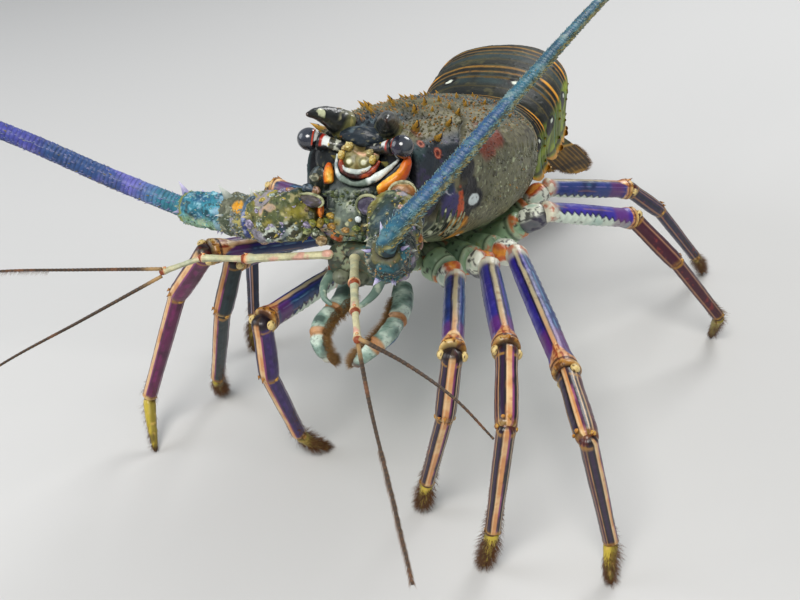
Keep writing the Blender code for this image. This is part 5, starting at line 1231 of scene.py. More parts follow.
def build_antenna(side):
    right = side == "right"
    J = PEDUNCLE[side]
    RAD = [{0.0: 6.8, 0.22: 8.1, 0.55: 8.0, 0.85: 7.9, 1.0: 7.0}, {0.0: 6.0, 0.25: 6.9, 0.75: 6.7, 1.0: 6.1}, {0.0: 5.2, 0.2: 6.0, 0.6: 5.7, 0.9: 5.6, 1.0: 4.4}]

    def colours(k):
        def col(f, th, P, s):
            n0, n1, n2, n3 = fbm(P, 9, 2, 150 + k), fbm(P, 4, 3, 151 + k), fbm(P, 1.6, 3, 152 + k), fbm(P, 0.8, 2, 153 + k)
            if right:
                base, second, light = (("4c5630", "757038", "b5ac7c"), ("46503c", "6c705a", "a9ac94"), ("2a7a8e", "3f9ab0", "9fd0dc"))[k]
            else:
                base, second, light = (("2c3c34", "4a543a", "8f9a78"), ("2c3a34", "4a4c3c", "8a8c78"), ("263430", "45483a", "7f8474"))[k]
            c = flat(C(base), f.shape)
            c = paint(c, C(second), smooth(n1, 0.0, 0.4) * 0.8)
            c = paint(c, C(light), smooth(n2, 0.12, 0.4) * 0.7)
            c = paint(c, C("171c16"), smooth(-n2 + 0.3 * n3, 0.22, 0.42) * 0.7)
            top = 1 - smooth(np.abs(th + 15 * n1), 45, 80)
            low = smooth(np.abs(th) + 12 * n1, 78, 105)
            if k == 2 and right:
                c = paint(c, C("1d4a72"), smooth(-n1, 0.1, 0.4) * (1 - low) * 0.7)
                c = paint(c, C("8fb89a"), low * 0.9)
                c = paint(c, C("6f8f6a"), low * smooth(n2, 0.0, 0.3) * 0.8)
                c = paint(c, C("c3cda4"), low * smooth(-n2, 0.15, 0.35) * 0.6)
                c = paint(c, C("2c4030"), low * smooth(n3 + 0.4 * n2, 0.3, 0.45) * 0.8)
                c = paint(c, C("8fb4cc"), band(f + 0.03 * n1, 0.09, 0.07, 0.05) * smooth(n2, -0.3, 0.1) * 0.75)
                c = paint(c, C("8a8f3a"), band(f + 0.03 * n1, 0.88, 0.035, 0.03) * 0.85)
            elif k == 2:
                c = paint(c, C("1f5a66"), smooth(-n1 + 0.3 * n2, 0.1, 0.35) * 0.75)
                c = paint(c, C("6a4a34"), smooth(n1 - 0.3 * n2, 0.25, 0.45) * 0.7)
                c = paint(c, C("a8a088"), smooth(n2, 0.28, 0.42) * 0.7)
                c = paint(c, C("c8702a"), spot(P, J[2] + (J[3] - J[2]) * 0.5 + V(-5.6, -2.0, 1.5), 1.5, 0.4, 0.5, 3, 5) * 0.9)
                c = paint(c, C("6a6430"), smooth(f + 0.04 * n1, 0.90, 0.95) * 0.6)
            if k == 1 and right:
                c = paint(c, C("5a5c48"), top * 0.7)
                c = paint(c, C("d99a1c"), spot(P, J[1] + (J[2] - J[1]) * 0.36 + V(0, -4.2, 5.6), 2.3, 0.5, 0.7, 3, 5))
                c = paint(c, C("b9ac5c"), spot(P, J[1] + (J[2] - J[1]) * 0.30 + V(0, -6.0, 1.0), 2.0, 0.8, 1.0, 3, 6) * 0.7)
                violet = smooth(1 - f + 0.05 * n1, 0.74, 0.84) * (1 - smooth(1 - f, 0.93, 0.98))
                c = paint(c, C("3a4a8c"), violet * (1 - top * 0.4) * 0.95)
                c = paint(c, C("2f6a8c"), violet * top * 0.8)
                c = paint(c, C("a9b0d8"), violet * smooth(n2, 0.05, 0.3) * 0.75)
                c = paint(c, C("a8a8bc"), band(f + 0.02 * n1, 0.50, 0.035, 0.03) * (1 - top) * smooth(n3, -0.4, 0.1) * 0.6)
            elif k == 1:
                c = paint(c, C("b9a7c4"), smooth(f + 0.05 * n1, 0.72, 0.85) * smooth(n2, -0.2, 0.2) * 0.5)
            if k == 0:
                stripe = band(np.abs(th) + 8 * n1, 112, 20, 12)
                zebra = smooth(np.sin(th / 5.0 + 4.5 * n1 + f * 16), 0.0, 0.35) * stripe * band(f, 0.45, 0.28, 0.08)
                c = paint(c, C("10130f"), stripe * band(f, 0.45, 0.28, 0.08) * 0.85)
                c = paint(c, C("d2dccb"), zebra * 0.95)
                c = paint(c, C("a89a2c"), smooth(n0, 0.05, 0.35) * (1 - stripe) * (0.75 if right else 0.4))
                c = paint(c, C("c9a888"), smooth(n1 - n0, 0.40, 0.55) * (1 - stripe) * 0.8)
                c = paint(c, C("8f8a9c"), smooth(n1 + n0, 0.42, 0.6) * 0.8)
                c = paint(c, C("2c4a5c"), smooth(-n0, 0.12, 0.4) * 0.7)
                c = paint(c, C("b9b24a"), smooth(f + 0.03 * n1, 0.86, 0.9) * (1 - top) * smooth(n2, -0.3, 0.1) * 0.8)
            c = paint(c, C("10120f"), smooth(np.abs(n2), 0.05, 0.01) * 0.5)
            if k:
                c = paint(c, C("14160f"), (1 - smooth(f, 0.05, 0.10)) * 0.7)
            c = paint(c, C("14160f"), smooth(f, 0.955, 0.985) * 0.8)
            return c
        return col

    for k, part in enumerate(("base", "middle", "last")):
        sh = Shell(f"shell_antenna_{side}_{part}")
        a, b = J[k].copy(), J[k + 1].copy()
        d = unit(b - a)
        a = a - d * (1.6 if k else 5.0)
        if k < 2:
            b = b + d * 0.8
        L = np.linalg.norm(b - a)
        f = np.linspace(0, 1, max(70, int(L / 0.22)))
        p = a + (b - a) * f[:, None]
        r = table(RAD[k], f)
        rr = rounded(f, L, r, 1.9)
        if k == 0:
            rr = r * np.sqrt(np.clip(1 - (1 - np.clip(f * L / 6.0, 0, 1)) ** 2, 0.01, 1)) * np.sqrt(np.clip(1 - (1 - np.clip((1 - f) * L / 1.9, 0, 1)) ** 2, 0.01, 1))
        P, TH, F, A, B, T = tube(sh, p, rr, rr, colours(k), up=V(0, 0, 1) if abs(d[2]) < 0.85 else V(0, -1, 0), n=150, power=2.2,
                                 disp=lambda f, th, P, s: 0.55 * fbm(P, 3.4, 3, 161 + k) + 0.42 * smooth(vnoise(P / 2.1, 162 + k), 0.2, 0.75) + 0.18 * vnoise(P / 0.9, 163 + k) - 0.6 * band(f, 0.91, 0.01, 0.025) - 0.45 * (band(f, 0.42, 0.01, 0.02) if k == 1 else 0))
        # granules everywhere, a few low knobs, and only some real spines
        grains = {0: [("6a6a3c", "b9b088"), ("4a5240", "8f9684"), ("8a7a2c", "cdb85a"), ("84809a", "c5bcd4")],
                  1: [("5a6450", "a9b09c"), ("4a5a5c", "9fb0b0"), ("7a7448", "c9be8c")],
                  2: [("2c6a78", "8fc0c4"), ("3a6a6a", "c3cdac"), ("2a5a6a", "a9b4d0")] if right else [("3a4a40", "9fa890"), ("5a4a34", "b99a6a"), ("2a5560", "6fa8a8")]}[k]
        antenna_spines(sh, p, T, 300, rr, 0.04 if k == 0 else 0.10, 0.95, None, (0.28, 0.75), grains, 0.3)
        antenna_spines(sh, p, T, 26, rr, 0.12, 0.95, None, (0.8, 1.3), grains, 0.5)
        if k == 0:
            for m in range(38 if right else 20):
                ff, tt = RNG.uniform(0.05, 0.92), RNG.uniform(-150, 150)
                i = int(ff * (len(p) - 1))
                o = A[i] * math.sin(math.radians(tt)) + B[i] * math.cos(math.radians(tt))
                pair = (("4a5238", "a9ac80"), ("6f6a84", "c3b8d4"), ("8a7a34", "cdbc60"), ("8a6a5c", "d9bcae"), ("2c3c48", "6f8490"), ("9a5a24", "d99a5a"), ("7a8c84", "dfe8e0"))[m % 7]
                sz = RNG.uniform(0.7, 1.7)
                sh.blob(p[i] + o * (rr[i] - 0.15 * sz), (sz * RNG.uniform(0.9, 1.3), sz * RNG.uniform(0.9, 1.3), sz * 0.65), [T[i], np.cross(o, T[i]), o],
                        lambda u, pair=pair: paint(flat(C(pair[0]), u.shape[:2]), C(pair[1]), smooth(fbm(u * 6, 3, 2, 158), -0.05, 0.3) * 0.85), n=14, bump=0.22, seed=m + 3)
            antenna_spines(sh, p, T, 7, rr, 0.6, 0.92, [-60, 0, 60], (1.6, 2.6), [("5a6450", "d5d8c0"), ("6a6a34", "e0d2a0")], 0.6)
        elif k == 1:
            i = [int(q * (len(p) - 1)) for q in (0.16, 0.80, 0.84, 0.78)]
            o = np.array([unit(A[q] * math.sin(t_) + B[q] * math.cos(t_)) for q, t_ in zip(i, (0.05, -0.15, 1.1, -1.2))])
            sh.cones(p[i] + o * (rr[i] - 0.3)[:, None], unit(o + T[i] * V(0.05, 0.4, 0.5, 0.5)[:, None]), [4.0, 5.2, 2.6, 2.4], [1.0, 1.6, 0.7, 0.7], C("6a7468"), C("e6ece4"), n=12, rings=7, bend=T[i] * 0.2)
        else:
            i = [int(q * (len(p) - 1)) for q in (0.93, 0.22, 0.30, 0.20, 0.62, 0.9, 0.9)]
            o = np.array([unit(A[q] * math.sin(t_) + B[q] * math.cos(t_)) for q, t_ in zip(i, (0.15, 2.6, 3.3, -2.9, 0.5, 1.5, -1.4))])
            sh.cones(p[i] + o * (rr[i] - 0.4)[:, None], unit(o + T[i] * V(0.5, 0.2, 0.2, 0.3, 0.7, 0.5, 0.5)[:, None]), [4.4, 3.2, 2.4, 2.4, 1.8, 2.2, 2.2], [1.2, 1.1, 0.7, 0.7, 0.6, 0.6, 0.6], C("8a84b4"), C("d9d4ee"), n=12, rings=7, bend=T[i] * 0.15)
        sh.make([M_ANT], f"antenna_{side}_{part}")

    # the long flagellum, ringed and spiny
    path = curve_through(FLAGELLUM[side], 61)
    total = np.linalg.norm(np.diff(path, axis=0), axis=1).sum()
    dense = curve_through(FLAGELLUM[side], 1600)
    tt = np.linspace(0, 1, 1600)
    rad = (3.0 if right else 2.5) * (1 - tt) ** 0.85 + 0.35
    for part, lo, hi in (("inner", 0, 682 + 1), ("outer", 682, 1600)):
        sh = Shell(f"shell_antenna_{side}_flagellum_{part}")
        p, t, r = dense[lo:hi], tt[lo:hi], rad[lo:hi].copy()
        if part == "outer":
            r[-3:] *= [0.8, 0.6, 0.3]

        def col(f, th, P, s):
            S = t[:, None] * total
            pitch = 1.5
            n1, n2 = fbm(P, 12, 2, 171), fbm(P, 1.6, 2, 172)
            ringy = np.sin(S / pitch * TAU + 0.5 * n1)
            if right:
                c = flat(C("2c4c80"), f.shape)
                c = paint(c, C("4a4aa4"), smooth(t[:, None] + 0.2 * n1, 0.06, 0.2) * 0.85)
                c = paint(c, C("7c78cc"), smooth(n1 + 0.4 * n2, 0.1, 0.5) * 0.55)
                c = paint(c, C("2f7f8c"), (1 - smooth(t[:, None] + 0.01 * n1, 0.02, 0.06)) * 0.8)
                # dark navy on the underside of the whip: painted shade
                c = paint(c, C("1c1f4a"), smooth(np.abs(th), 110, 145) * 0.8)
                c = paint(c, C("8f8cc4"), smooth(ringy, 0.7, 0.95) * smooth(n2, 0.0, 0.3) * 0.25)
                c = paint(c, C("14162e"), smooth(-ringy, 0.6, 0.95) * (0.35 + 0.3 * smooth(n2, -0.2, 0.3)))
            else:
                c = flat(C("1d4f68"), f.shape)
                c = paint(c, C("2f7488"), smooth(n1, 0.0, 0.5) * 0.6)
                c = paint(c, C("2f4f8a"), band(t[:, None] + 0.03 * n1, 0.14, 0.06, 0.06) * 0.5)
                c = paint(c, C("142a3a"), smooth(n1 + n2, 0.25, 0.6) * 0.65)
                side_a = turned(th, 92)
                # near-black on the underside of the whip: painted shade
                c = paint(c, C("1a2426"), smooth(np.abs(th), 100, 135) * 0.85)
                c = paint(c, C("585c34"), band(side_a, 0, 22, 16) * 0.85)
                c = paint(c, C("a89a58"), band(side_a, 0, 14, 12) * smooth(n2, -0.1, 0.25) * 0.85)
                c = paint(c, C("6fa4ac"), smooth(n2 + 0.5 * n1, 0.15, 0.4) * 0.4)
                c = paint(c, C("8a9a94"), smooth(fbm(P, 5.0, 3, 177), 0.22, 0.42) * smooth(n2, -0.3, 0.1) * smooth(t[:, None], 0.10, 0.25) * 0.6)
                c = paint(c, C("0f1c26"), smooth(-ringy, 0.6, 0.95) * (0.12 + 0.2 * smooth(n2, -0.2, 0.3)))
            c = paint(c, C("3a3a5c") if right else C("24404c"), smooth(t[:, None], 0.6, 1.0) * 0.6)
            return c
        S = t * total
        P, TH, F, A, B, T = tube(sh, p, r, r, col, up=V(0, 0, 1), n=30,
                                 disp=lambda f, th, P, s: 0.012 * np.clip(r, 0.4, 3)[:, None] * np.sin(S / 1.5 * TAU + 0.6 * np.sin(S / 7.0))[:, None] + 0.13 * np.clip(r, 0.4, 1.6)[:, None] * fbm(P, 1.3, 3, 175))
        # spine whorls: longer ones in four rows, short ones between
        at = np.arange(lo + 6, hi - 6, 2 if right else 1)
        for row, jit, big in ((60, 8, 0.8), (-60, 8, 0.9), (15, 10, 0.5), (-15, 10, 0.5), (120, 12, 0.8), (-120, 12, 0.7), (95, 12, 1.0), (-95, 8, 0.5)):
            i = at[RNG.random(len(at)) < (0.42 if big > 0.6 else 0.3)]
            if not len(i):
                continue
            th = np.radians(row + RNG.normal(0, jit, len(i)))
            j = i - lo
            o = A[j] * np.sin(th)[:, None] + B[j] * np.cos(th)[:, None]
            rr = rad[i]
            ln = (0.22 + 0.30 * rr) * big * RNG.uniform(0.5, 1.3, len(i))
            gold = RNG.random((len(i), 1)) < (0.8 if (not right and abs(row - 95) < 5) else 0.10)
            c0 = np.where(gold, C("5f5c34"), C("2c4c80") if right else C("1d4a5c"))
            c1 = np.where(gold, C("b9a860"), C("b4b0dc") if right else C("8fb8b4"))
            sh.cones(dense[i] + o * (rr - 0.05)[:, None], unit(o + T[j] * 1.1), ln, 0.10 + 0.13 * ln, c0, c1, n=6, rings=3, bend=T[j] * 0.15)
        sh.make([M_ANT], f"antenna_{side}_flagellum_{part}")


ANTENNULE = {
    "right": ([body(-3.6, -12.6, -24.5), V(-35.0, -21.5, 88.0), V(-49.5, -24.5, 88.0), V(-59.5, -33.0, 86.0)],
              [[V(-60.4, -33.6, 87.2), V(-88, -41, 87), V(-115, -47, 86), V(-142, -52, 82)],
               [V(-60.6, -34.0, 84.2), V(-82, -50, 74), V(-105, -66, 63), V(-126, -84, 50)]]),
    "left": ([body(3.6, -12.6, -24.5), V(15.0, -43.0, 97.5), V(21.5, -56.5, 97.0), V(27.4, -68.0, 96.0)],
             [[V(28.2, -69.4, 94.6), V(38, -85, 87), V(51, -104, 78), V(63, -122, 70)],
              [V(29.4, -69.0, 96.8), V(44, -74, 95), V(58, -78, 90), V(69, -81, 82)]]),
}


def build_antennule(side):
    joints, whips = ANTENNULE[side]
    sh = Shell("shell_antennule_" + side)

    def col(f, th, P, s):
        n1, n2 = fbm(P, 5, 3, 181), fbm(P, 1.6, 2, 182)
        k = flat(C("c9c49c"), f.shape)
        k = paint(k, C("a8b49a"), smooth(n1, 0.05, 0.45) * 0.7)
        k = paint(k, C("d9938a"), smooth(-n1 + 0.3 * n2, 0.22, 0.42) * 0.7)
        # dark olive on the underside: painted shade
        k = paint(k, C("4a4a34"), smooth(np.abs(th), 120, 150) * 0.75)
        k = paint(k, C("3a3a2c"), band(np.abs(th), 100, 3, 6) * 0.6)
        e = np.maximum(1 - smooth(f, 0.03, 0.08), smooth(f, 0.92, 0.97))
        e = e * (1 if joint else smooth(f, 0.4, 0.6))
        k = paint(k, C("c8702f"), e * 0.85)
        k = paint(k, C("e9c49a"), e * smooth(n2, 0.0, 0.3) * 0.7)
        k = paint(k, C("2a1a12"), smooth(f, 0.985, 1.0) * 0.7)
        return k
    for k in range(3):
        joint = k > 0
        a, b = joints[k], joints[k + 1]
        d = unit(b - a)
        p, f = straight(a - d * (0.6 if k else -0.2), b + d * 0.4, 0.35)
        L = np.linalg.norm(p[-1] - p[0])
        w = [1.62, 1.42, 1.15][k]
        r = table({0: 0.85, 0.05: 1.05, 0.14: 0.82, 0.5: 0.80, 0.85: 0.88, 0.94: 1.16, 1: 1.0}, f) * w
        rr = rounded(f, L, r, 0.9)
        tube(sh, p, rr, rr * 0.92, col, up=V(0, 0, 1), n=40, disp=lambda f, th, P, s: 0.08 * fbm(P, 1.6, 2, 183))
        tip = b - d * 1.0 + V(0, 0, 1) * w
        sh.cones([tip], [unit(d + V(0, 0, 0.6))], [1.2], [0.4], C("c8702f"), C("f0d8a8"), n=8, rings=3)
        sh.blob(b, np.array([1.9, 1.9, 1.9]) * w / 1.9, np.eye(3), C("8a3f1c"), n=12, bump=0.05)
    sh.make([M_FACE], "antennule_" + side)
    for whip, part in zip(whips, ("outer", "inner")):
        sh = Shell(f"shell_antennule_{side}_flagellum_{part}")
        m = 420
        dense = curve_through(whip, m)
        f = np.linspace(0, 1, m)
        r = 0.62 + (0.30 - 0.62) * f
        start = dense[0] - unit(dense[1] - dense[0]) * 1.0
        dense[0] = start
        total = np.linalg.norm(np.diff(dense, axis=0), axis=1).sum()

        def whipcol(f_, th, P, s):
            n1 = fbm(P, 5, 2, 185)
            ringy = np.sin(s / 1.5 * TAU)
            k = flat(C("3a2c20"), f_.shape)
            k = paint(k, C("7a4a2a"), smooth(n1, 0.1, 0.5) * 0.6)
            k = paint(k, C("8a6238"), smooth(ringy, 0.7, 0.95) * (0.25 + 0.2 * (n1 > 0)))
            k = paint(k, C("c9a36a"), (1 - smooth(f_, 0.02, 0.10)) * 0.6)
            return k
        tube(sh, dense, r, r, whipcol, up=V(0, 0, 1), n=16, disp=lambda f_, th, P, s: 0.03 * np.sin(s / 1.5 * TAU))
        sh.make([M_ANT], f"antennule_{side}_flagellum_{part}")
        # fine sensory setae on the far half of the outer whip
        if part == "outer":
            hs = Shell(f"setae_antennule_{side}")
            mm = 900
            i = RNG.integers(int(m * 0.45), m - 4, mm)
            T = unit(dense[i + 1] - dense[i])
            o = unit(np.cross(T, V(0, 0, 1))) * RNG.choice([-0.5, 0.5], mm)[:, None] - V(0, 0, 1) * 0.8
            hs.hairs(dense[i] + unit(o) * 0.3, unit(unit(o) + T * 0.5), RNG.uniform(1.0, 2.0, mm), 0.05, C("4a2c18"), C("8a6238"), np.stack([f[i], RNG.random(mm) * 0.9], 1), bend=T * 0.1)
            hs.make([M_HAIR], ())


for _side in ("left", "right"):
    build_antenna(_side)
    build_antennule(_side)


# ================================================================== tail
SEGMENTS = [  # length, half width, height above and below the middle, pitch down, turn to the right
    (11.0, 26.0, 16.5, 16.0, -10.0, 1.0),
    (22.0, 28.5, 18.0, 22.0, -9.0, 4.0),
    (21.0, 28.8, 18.5, 22.5, -1.0, 8.0),
    (20.0, 28.3, 18.0, 22.0, 14.0, 12.0),
    (19.0, 26.8, 17.0, 20.5, 31.0, 15.0),
    (21.0, 24.5, 15.0, 16.0, 47.0, 17.0),
]


def tail_axes(pitch, turn):
    p, t = math.radians(pitch), math.radians(turn)
    along = V(-math.sin(t) * math.cos(p), math.cos(t) * math.cos(p), -math.sin(p))
    left = V(math.cos(t), math.sin(t), 0)
    return along, left, np.cross(left, along)


TAIL_JOINTS = []
_c = body(0, 102.6, -1.6)
for _k, (_len, _half, _high, _low, _pitch, _turn) in enumerate(SEGMENTS):
    _b = SEGMENTS[max(_k - 1, 0)]
    TAIL_JOINTS.append((_c, (_pitch + _b[4]) / 2 if _k else BODY_PITCH - 3.5, (_turn + _b[5]) / 2, (_half + _b[1]) / 2, (_high + _b[2]) / 2, (_low + _b[3]) / 2))
    _c = _c + tail_axes(_pitch, _turn)[0] * _len
TAIL_JOINTS.append((_c, SEGMENTS[-1][4] + 2, SEGMENTS[-1][5] + 2, 21.0, 11.0, 11.0))
TAIL_END = _c


def tail_station(k, t):
    a, b = TAIL_JOINTS[k], TAIL_JOINTS[k + 1]
    c, pitch, turn, half, high, low = (x + (y - x) * t for x, y in zip(a, b))
    return (c,) + tail_axes(pitch, turn) + (half, high, low)


def tergite_colour(k, t, deg, P, edge):
    """t along the ring (1 = hind margin), deg round from the top, edge 0..1 down the side lappet."""
    n1, n2, n3 = fbm(P, 9, 3, 200 + k), fbm(P, 3, 3, 210 + k), fbm(P, 1.2, 2, 220 + k)
    side = np.abs(deg)
    c = flat(C("20231c"), t.shape)
    c = paint(c, C("3a3c26"), smooth(n1, -0.1, 0.4) * 0.75)
    c = paint(c, C("14191b"), smooth(-n1 + 0.3 * n2, 0.1, 0.5) * 0.8)
    c = paint(c, C("56512e"), smooth(n2, 0.2, 0.5) * (1 - smooth(side, 70, 95)) * 0.5)
    c = paint(c, C("1a3a44"), band(t, 0.55, 0.10, 0.15) * smooth(n1, -0.3, 0.3) * 0.55)
    # gold arcs across the hind part of the ring
    for at, w, amp, colour in ((0.30, 0.010, 0.5, "6a5c26"), (0.62, 0.012, 0.75, "8a6a24"), (0.80, 0.016, 0.9, "a8782a"), (0.955, 0.022, 1.0, "b8862e")):
        bright = 0.5 + 0.5 * smooth(side, 42, 60)
        c = paint(c, C(colour), band(t + 0.015 * n1, at, w, 0.02) * amp * bright * smooth(n3, -0.9, -0.2) * (1 - 0.4 * smooth(side, 85, 105)))
    c = paint(c, C("e8a02c"), band(t + 0.01 * n1, 0.95, 0.026, 0.02) * band(side, 66, 17, 8) * 0.95)
    c = paint(c, C("14130c"), band(t, 0.875, 0.03, 0.03) * 0.8)
    # olive-lime side lappets with a black spot, a white dot and a blue-green stripe
    lap = smooth(side + 3 * n1, 72, 84)
    c = paint(c, C("66761f"), lap * 0.95)
    c = paint(c, C("9aac2c"), lap * smooth(n1 + 0.3 * n2, -0.1, 0.4) * 0.8)
    c = paint(c, C("39451c"), lap * smooth(-n2, 0.2, 0.45) * 0.45)
    c = paint(c, C("3f8a7c"), lap * band(t + 0.02 * n1, 0.66, 0.030, 0.03) * (side > 84) * 0.85)
    c = paint(c, C("d99a2c"), smooth(edge, 0.90, 0.96) * lap * 0.95)
    c = paint(c, C("2a1a0c"), band(edge, 0.87, 0.015, 0.02) * lap * 0.8)
    big = 4.2 if k < 3 else 2.8
    d = np.hypot((t - 0.34) * 19, (side - 88) * 0.42)
    c = paint(c, C("0b0d0f"), 1 - smooth(d + 0.5 * n2, big, big + 0.7))
    d = np.hypot((t - 0.42) * 19, (side - 84) * 0.42)
    c = paint(c, C("e4ecdc"), 1 - smooth(d, 0.95, 1.3))
    return c


def build_tail():
    for k in range(6):
        sh = Shell(f"shell_abdomen_{k + 1}")
        na, nt = 230, 64
        deg = np.linspace(-118, 118, na)
        t = np.concatenate([np.linspace(-0.10 if k else 0.02, 0.94, nt), [0.965, 0.985, 1.0, 1.02, 1.035, 1.04]])
        if k == 5:
            t = np.concatenate([np.linspace(-0.10, 0.94, nt), [0.96, 0.98, 0.99, 1.0, 1.005, 1.01]])
        outer, inner, oc = [], [], []
        for tt in t:
            c, along, left, up, half, high, low = tail_station(k, min(max(tt, -0.12), 1.06))
            depth = low * (0.66 + 0.34 * math.sin(math.pi * (0.12 + 0.62 * np.clip(tt, 0, 1))))
            a = np.radians(deg)
            s, cc = np.sin(a), np.cos(a)
            x = half * np.sign(s) * np.abs(s) ** 0.86
            z = np.where(np.abs(deg) < 90, high * cc, high * cc * 0.9)
            # the lappet runs down to its point at the lower edge
            e = smooth(np.abs(deg), 96, 118)
            x = x * (1 - e) + np.sign(s) * half * 0.965 * e
            z = z * (1 - e) + (-depth) * e
            back = 4.5 * e + 2.5 * e ** 3
            # swell, and the hind margin standing a little proud of the next ring
            swell = 1.0 + 0.02 * math.sin(math.pi * np.clip(tt, 0, 1)) + 0.022 * smooth(tt, 0.80, 0.97) - 0.045 * (1 - smooth(tt, 0.0, 0.16)) - 0.018 * np.exp(-((tt - 0.70) / 0.03) ** 2)
            P = c + np.outer(x * swell, left) + np.outer(z * swell, up) + np.outer(back, along)
            outer.append(P)
            Q = c + np.outer(x * swell * 0.955, left) + np.outer(z * swell * 0.955 - 0.4, up) + np.outer(back - 0.3, along)
            inner.append(Q)
        outer, inner = np.array(outer), np.array(inner)
        T = np.repeat(t[:, None], na, 1)
        D = np.repeat(deg[None], len(t), 0)
        e = smooth(np.abs(D), 60, 118)
        mid = outer.mean(axis=(0, 1))
        nrm = unit(outer - inner)
        n2 = fbm(outer, 3, 3, 230 + k)
        rough = 0.16 * n2 + 0.22 * smooth(vnoise(outer / 1.5, 231 + k), 0.45, 0.8) * (1 - smooth(T, 0.86, 0.9))
        rough = rough - 0.35 * band(T, 0.60, 0.012, 0.02) * (1 - smooth(np.abs(D), 60, 75)) if 0 < k < 5 else rough
        outer = outer + nrm * rough[..., None]
        # lappet edge fraction measured towards the lower border and the point
        edge = smooth(np.abs(D), 78, 118)
        col = tergite_colour(k, T, D, outer, edge)
        if k == 1:
            for x0 in (9.5, -10.5):
                d = np.hypot((T - 0.55) * 21, (D * math.pi / 180 * 22 - x0))
                col = paint(col, C("14130f"), 1 - smooth(d, 2.6, 3.2))
                col = paint(col, C("e9efdf"), 1 - smooth(d, 1.2, 1.6))
        ring = np.concatenate([outer, inner[:, ::-1]], 1)
        colr = np.concatenate([col, paint(col[:, ::-1], C("6a7048"), np.full(col.shape[:2], 0.6))], 1)
        sh.grid(ring, colr)
        # spines along the hind edge of the lappets
        for s in (0, na - 1):
            idx = [j if s == 0 else na - 1 - j for j in (2, 10, 18, 27)]
            B = outer[-8, idx]
            c, along, left, up, half, high, low = tail_station(k, 0.95)
            sgn = -1 if s == 0 else 1
            sh.cones(B, [along * 0.9 - up * 0.45 + left * sgn * 0.15] * 4, [4.2 if k < 5 else 2.0, 1.8, 1.4, 1.1], [1.1 if k < 5 else 0.7, 0.6, 0.5, 0.4], C("b9862c"), C("e9c25a"), n=10, rings=6, bend=along * 0.1 - up * 0.05)
        # soft belly inside the ring
        rings, cols = [], []
        for tt in np.linspace(0.02, 0.98, 30):
            c, along, left, up, half, high, low = tail_station(k, tt)
            a = TAU * np.arange(72) / 72
            s, cc = np.sin(a), np.cos(a)
            x = half * 0.88 * np.sign(s) * np.abs(s) ** 0.9
            top, bot = high * 0.86, -low * 0.42 - 1.2 * math.sin(math.pi * tt)
            z = np.where(cc > 0, cc * top, -np.abs(cc) ** 0.6 * -bot)
            rings.append(c + np.outer(x, left) + np.outer(z, up))
        rings = np.array(rings)
        nz = fbm(rings, 5, 3, 240 + k)
        rings[..., 2] += 0.25 * nz
        cb = paint(flat(C("8a8a66"), rings.shape[:2]), C("5a5c40"), smooth(nz, 0.0, 0.4))
        cb = paint(cb, C("b5b48e"), smooth(-nz, 0.2, 0.5) * 0.8)
        sh.grid(rings, cb)
        # hard bar across the belly
        c, along, left, up, half, high, low = tail_station(k, 0.72)
        u = np.linspace(-0.86, 0.86, 60)
        bar = c + np.outer(u * half, left) + np.outer(-low * 0.43 - 1.4 - 1.2 * (1 - u ** 2), up)
        tube(sh, bar, np.full(60, 1.7), np.full(60, 1.2), marbled(C("5d6a3a"), C("a5a56a"), 3, 0.8, 0.0, 0.4, 250 + k), up=up, n=18)
        # swimmerets: a short stalk with two leaf blades on each side
        if 0 < k < 5:
            for s in (1, -1):
                c, along, left, up, half, high, low = tail_station(k, 0.66)
                root = c + left * s * half * 0.66 - up * (low * 0.45 + 0.6)
                sh.blob(root - up * 1.2, (2.2, 2.4, 2.6), [left, along, up], C("7a7f4a"), n=14, bump=0.1)
                for b, (lean, ln, wd) in enumerate(((0.25, 13.5, 4.6), (-0.12, 10.5, 3.8))):
                    d = unit(-up * 0.35 + along * (0.9 - 0.1 * b) + left * s * lean)
                    w = unit(left * s - d * (left * s @ d) + up * 0.15)
                    nn = np.cross(d, w)
                    f = np.linspace(0, 1, 40)[:, None]
                    v = TAU * np.arange(44)[None] / 44
                    wide = wd * np.sqrt(np.clip(np.sin(math.pi * np.clip(0.03 + 0.94 * f, 0, 1)), 0, 1)) * (0.7 + 0.5 * f)
                    B = root - up * (1.8 + 1.0 * b) + d * (f * ln)[..., None] + w * (wide * np.sin(v))[..., None] + nn * ((0.35 + 0.25 * (1 - f)) * np.cos(v) + 1.1 * (np.sin(v) ** 2) * 0.5)[..., None] - up * (1.6 * f ** 2)[..., None]
                    nz = fbm(B, 3, 3, 260 + k)
                    cc = paint(flat(C("6f7c28"), nz.shape), C("a5ac48"), smooth(nz, 0.0, 0.4) * 0.8)
                    cc = paint(cc, C("c98a3a"), smooth(np.abs(np.sin(v)) + 0 * f, 0.90, 0.97) * 0.8)
                    cc = paint(cc, C("2a3016"), band(np.sin(v * 1.0) * wide, 0, 0.15, 0.25) * 0.6)
                    sh.grid(B, cc)
        sh.make([M_TAIL], f"abdomen_{k + 1}")


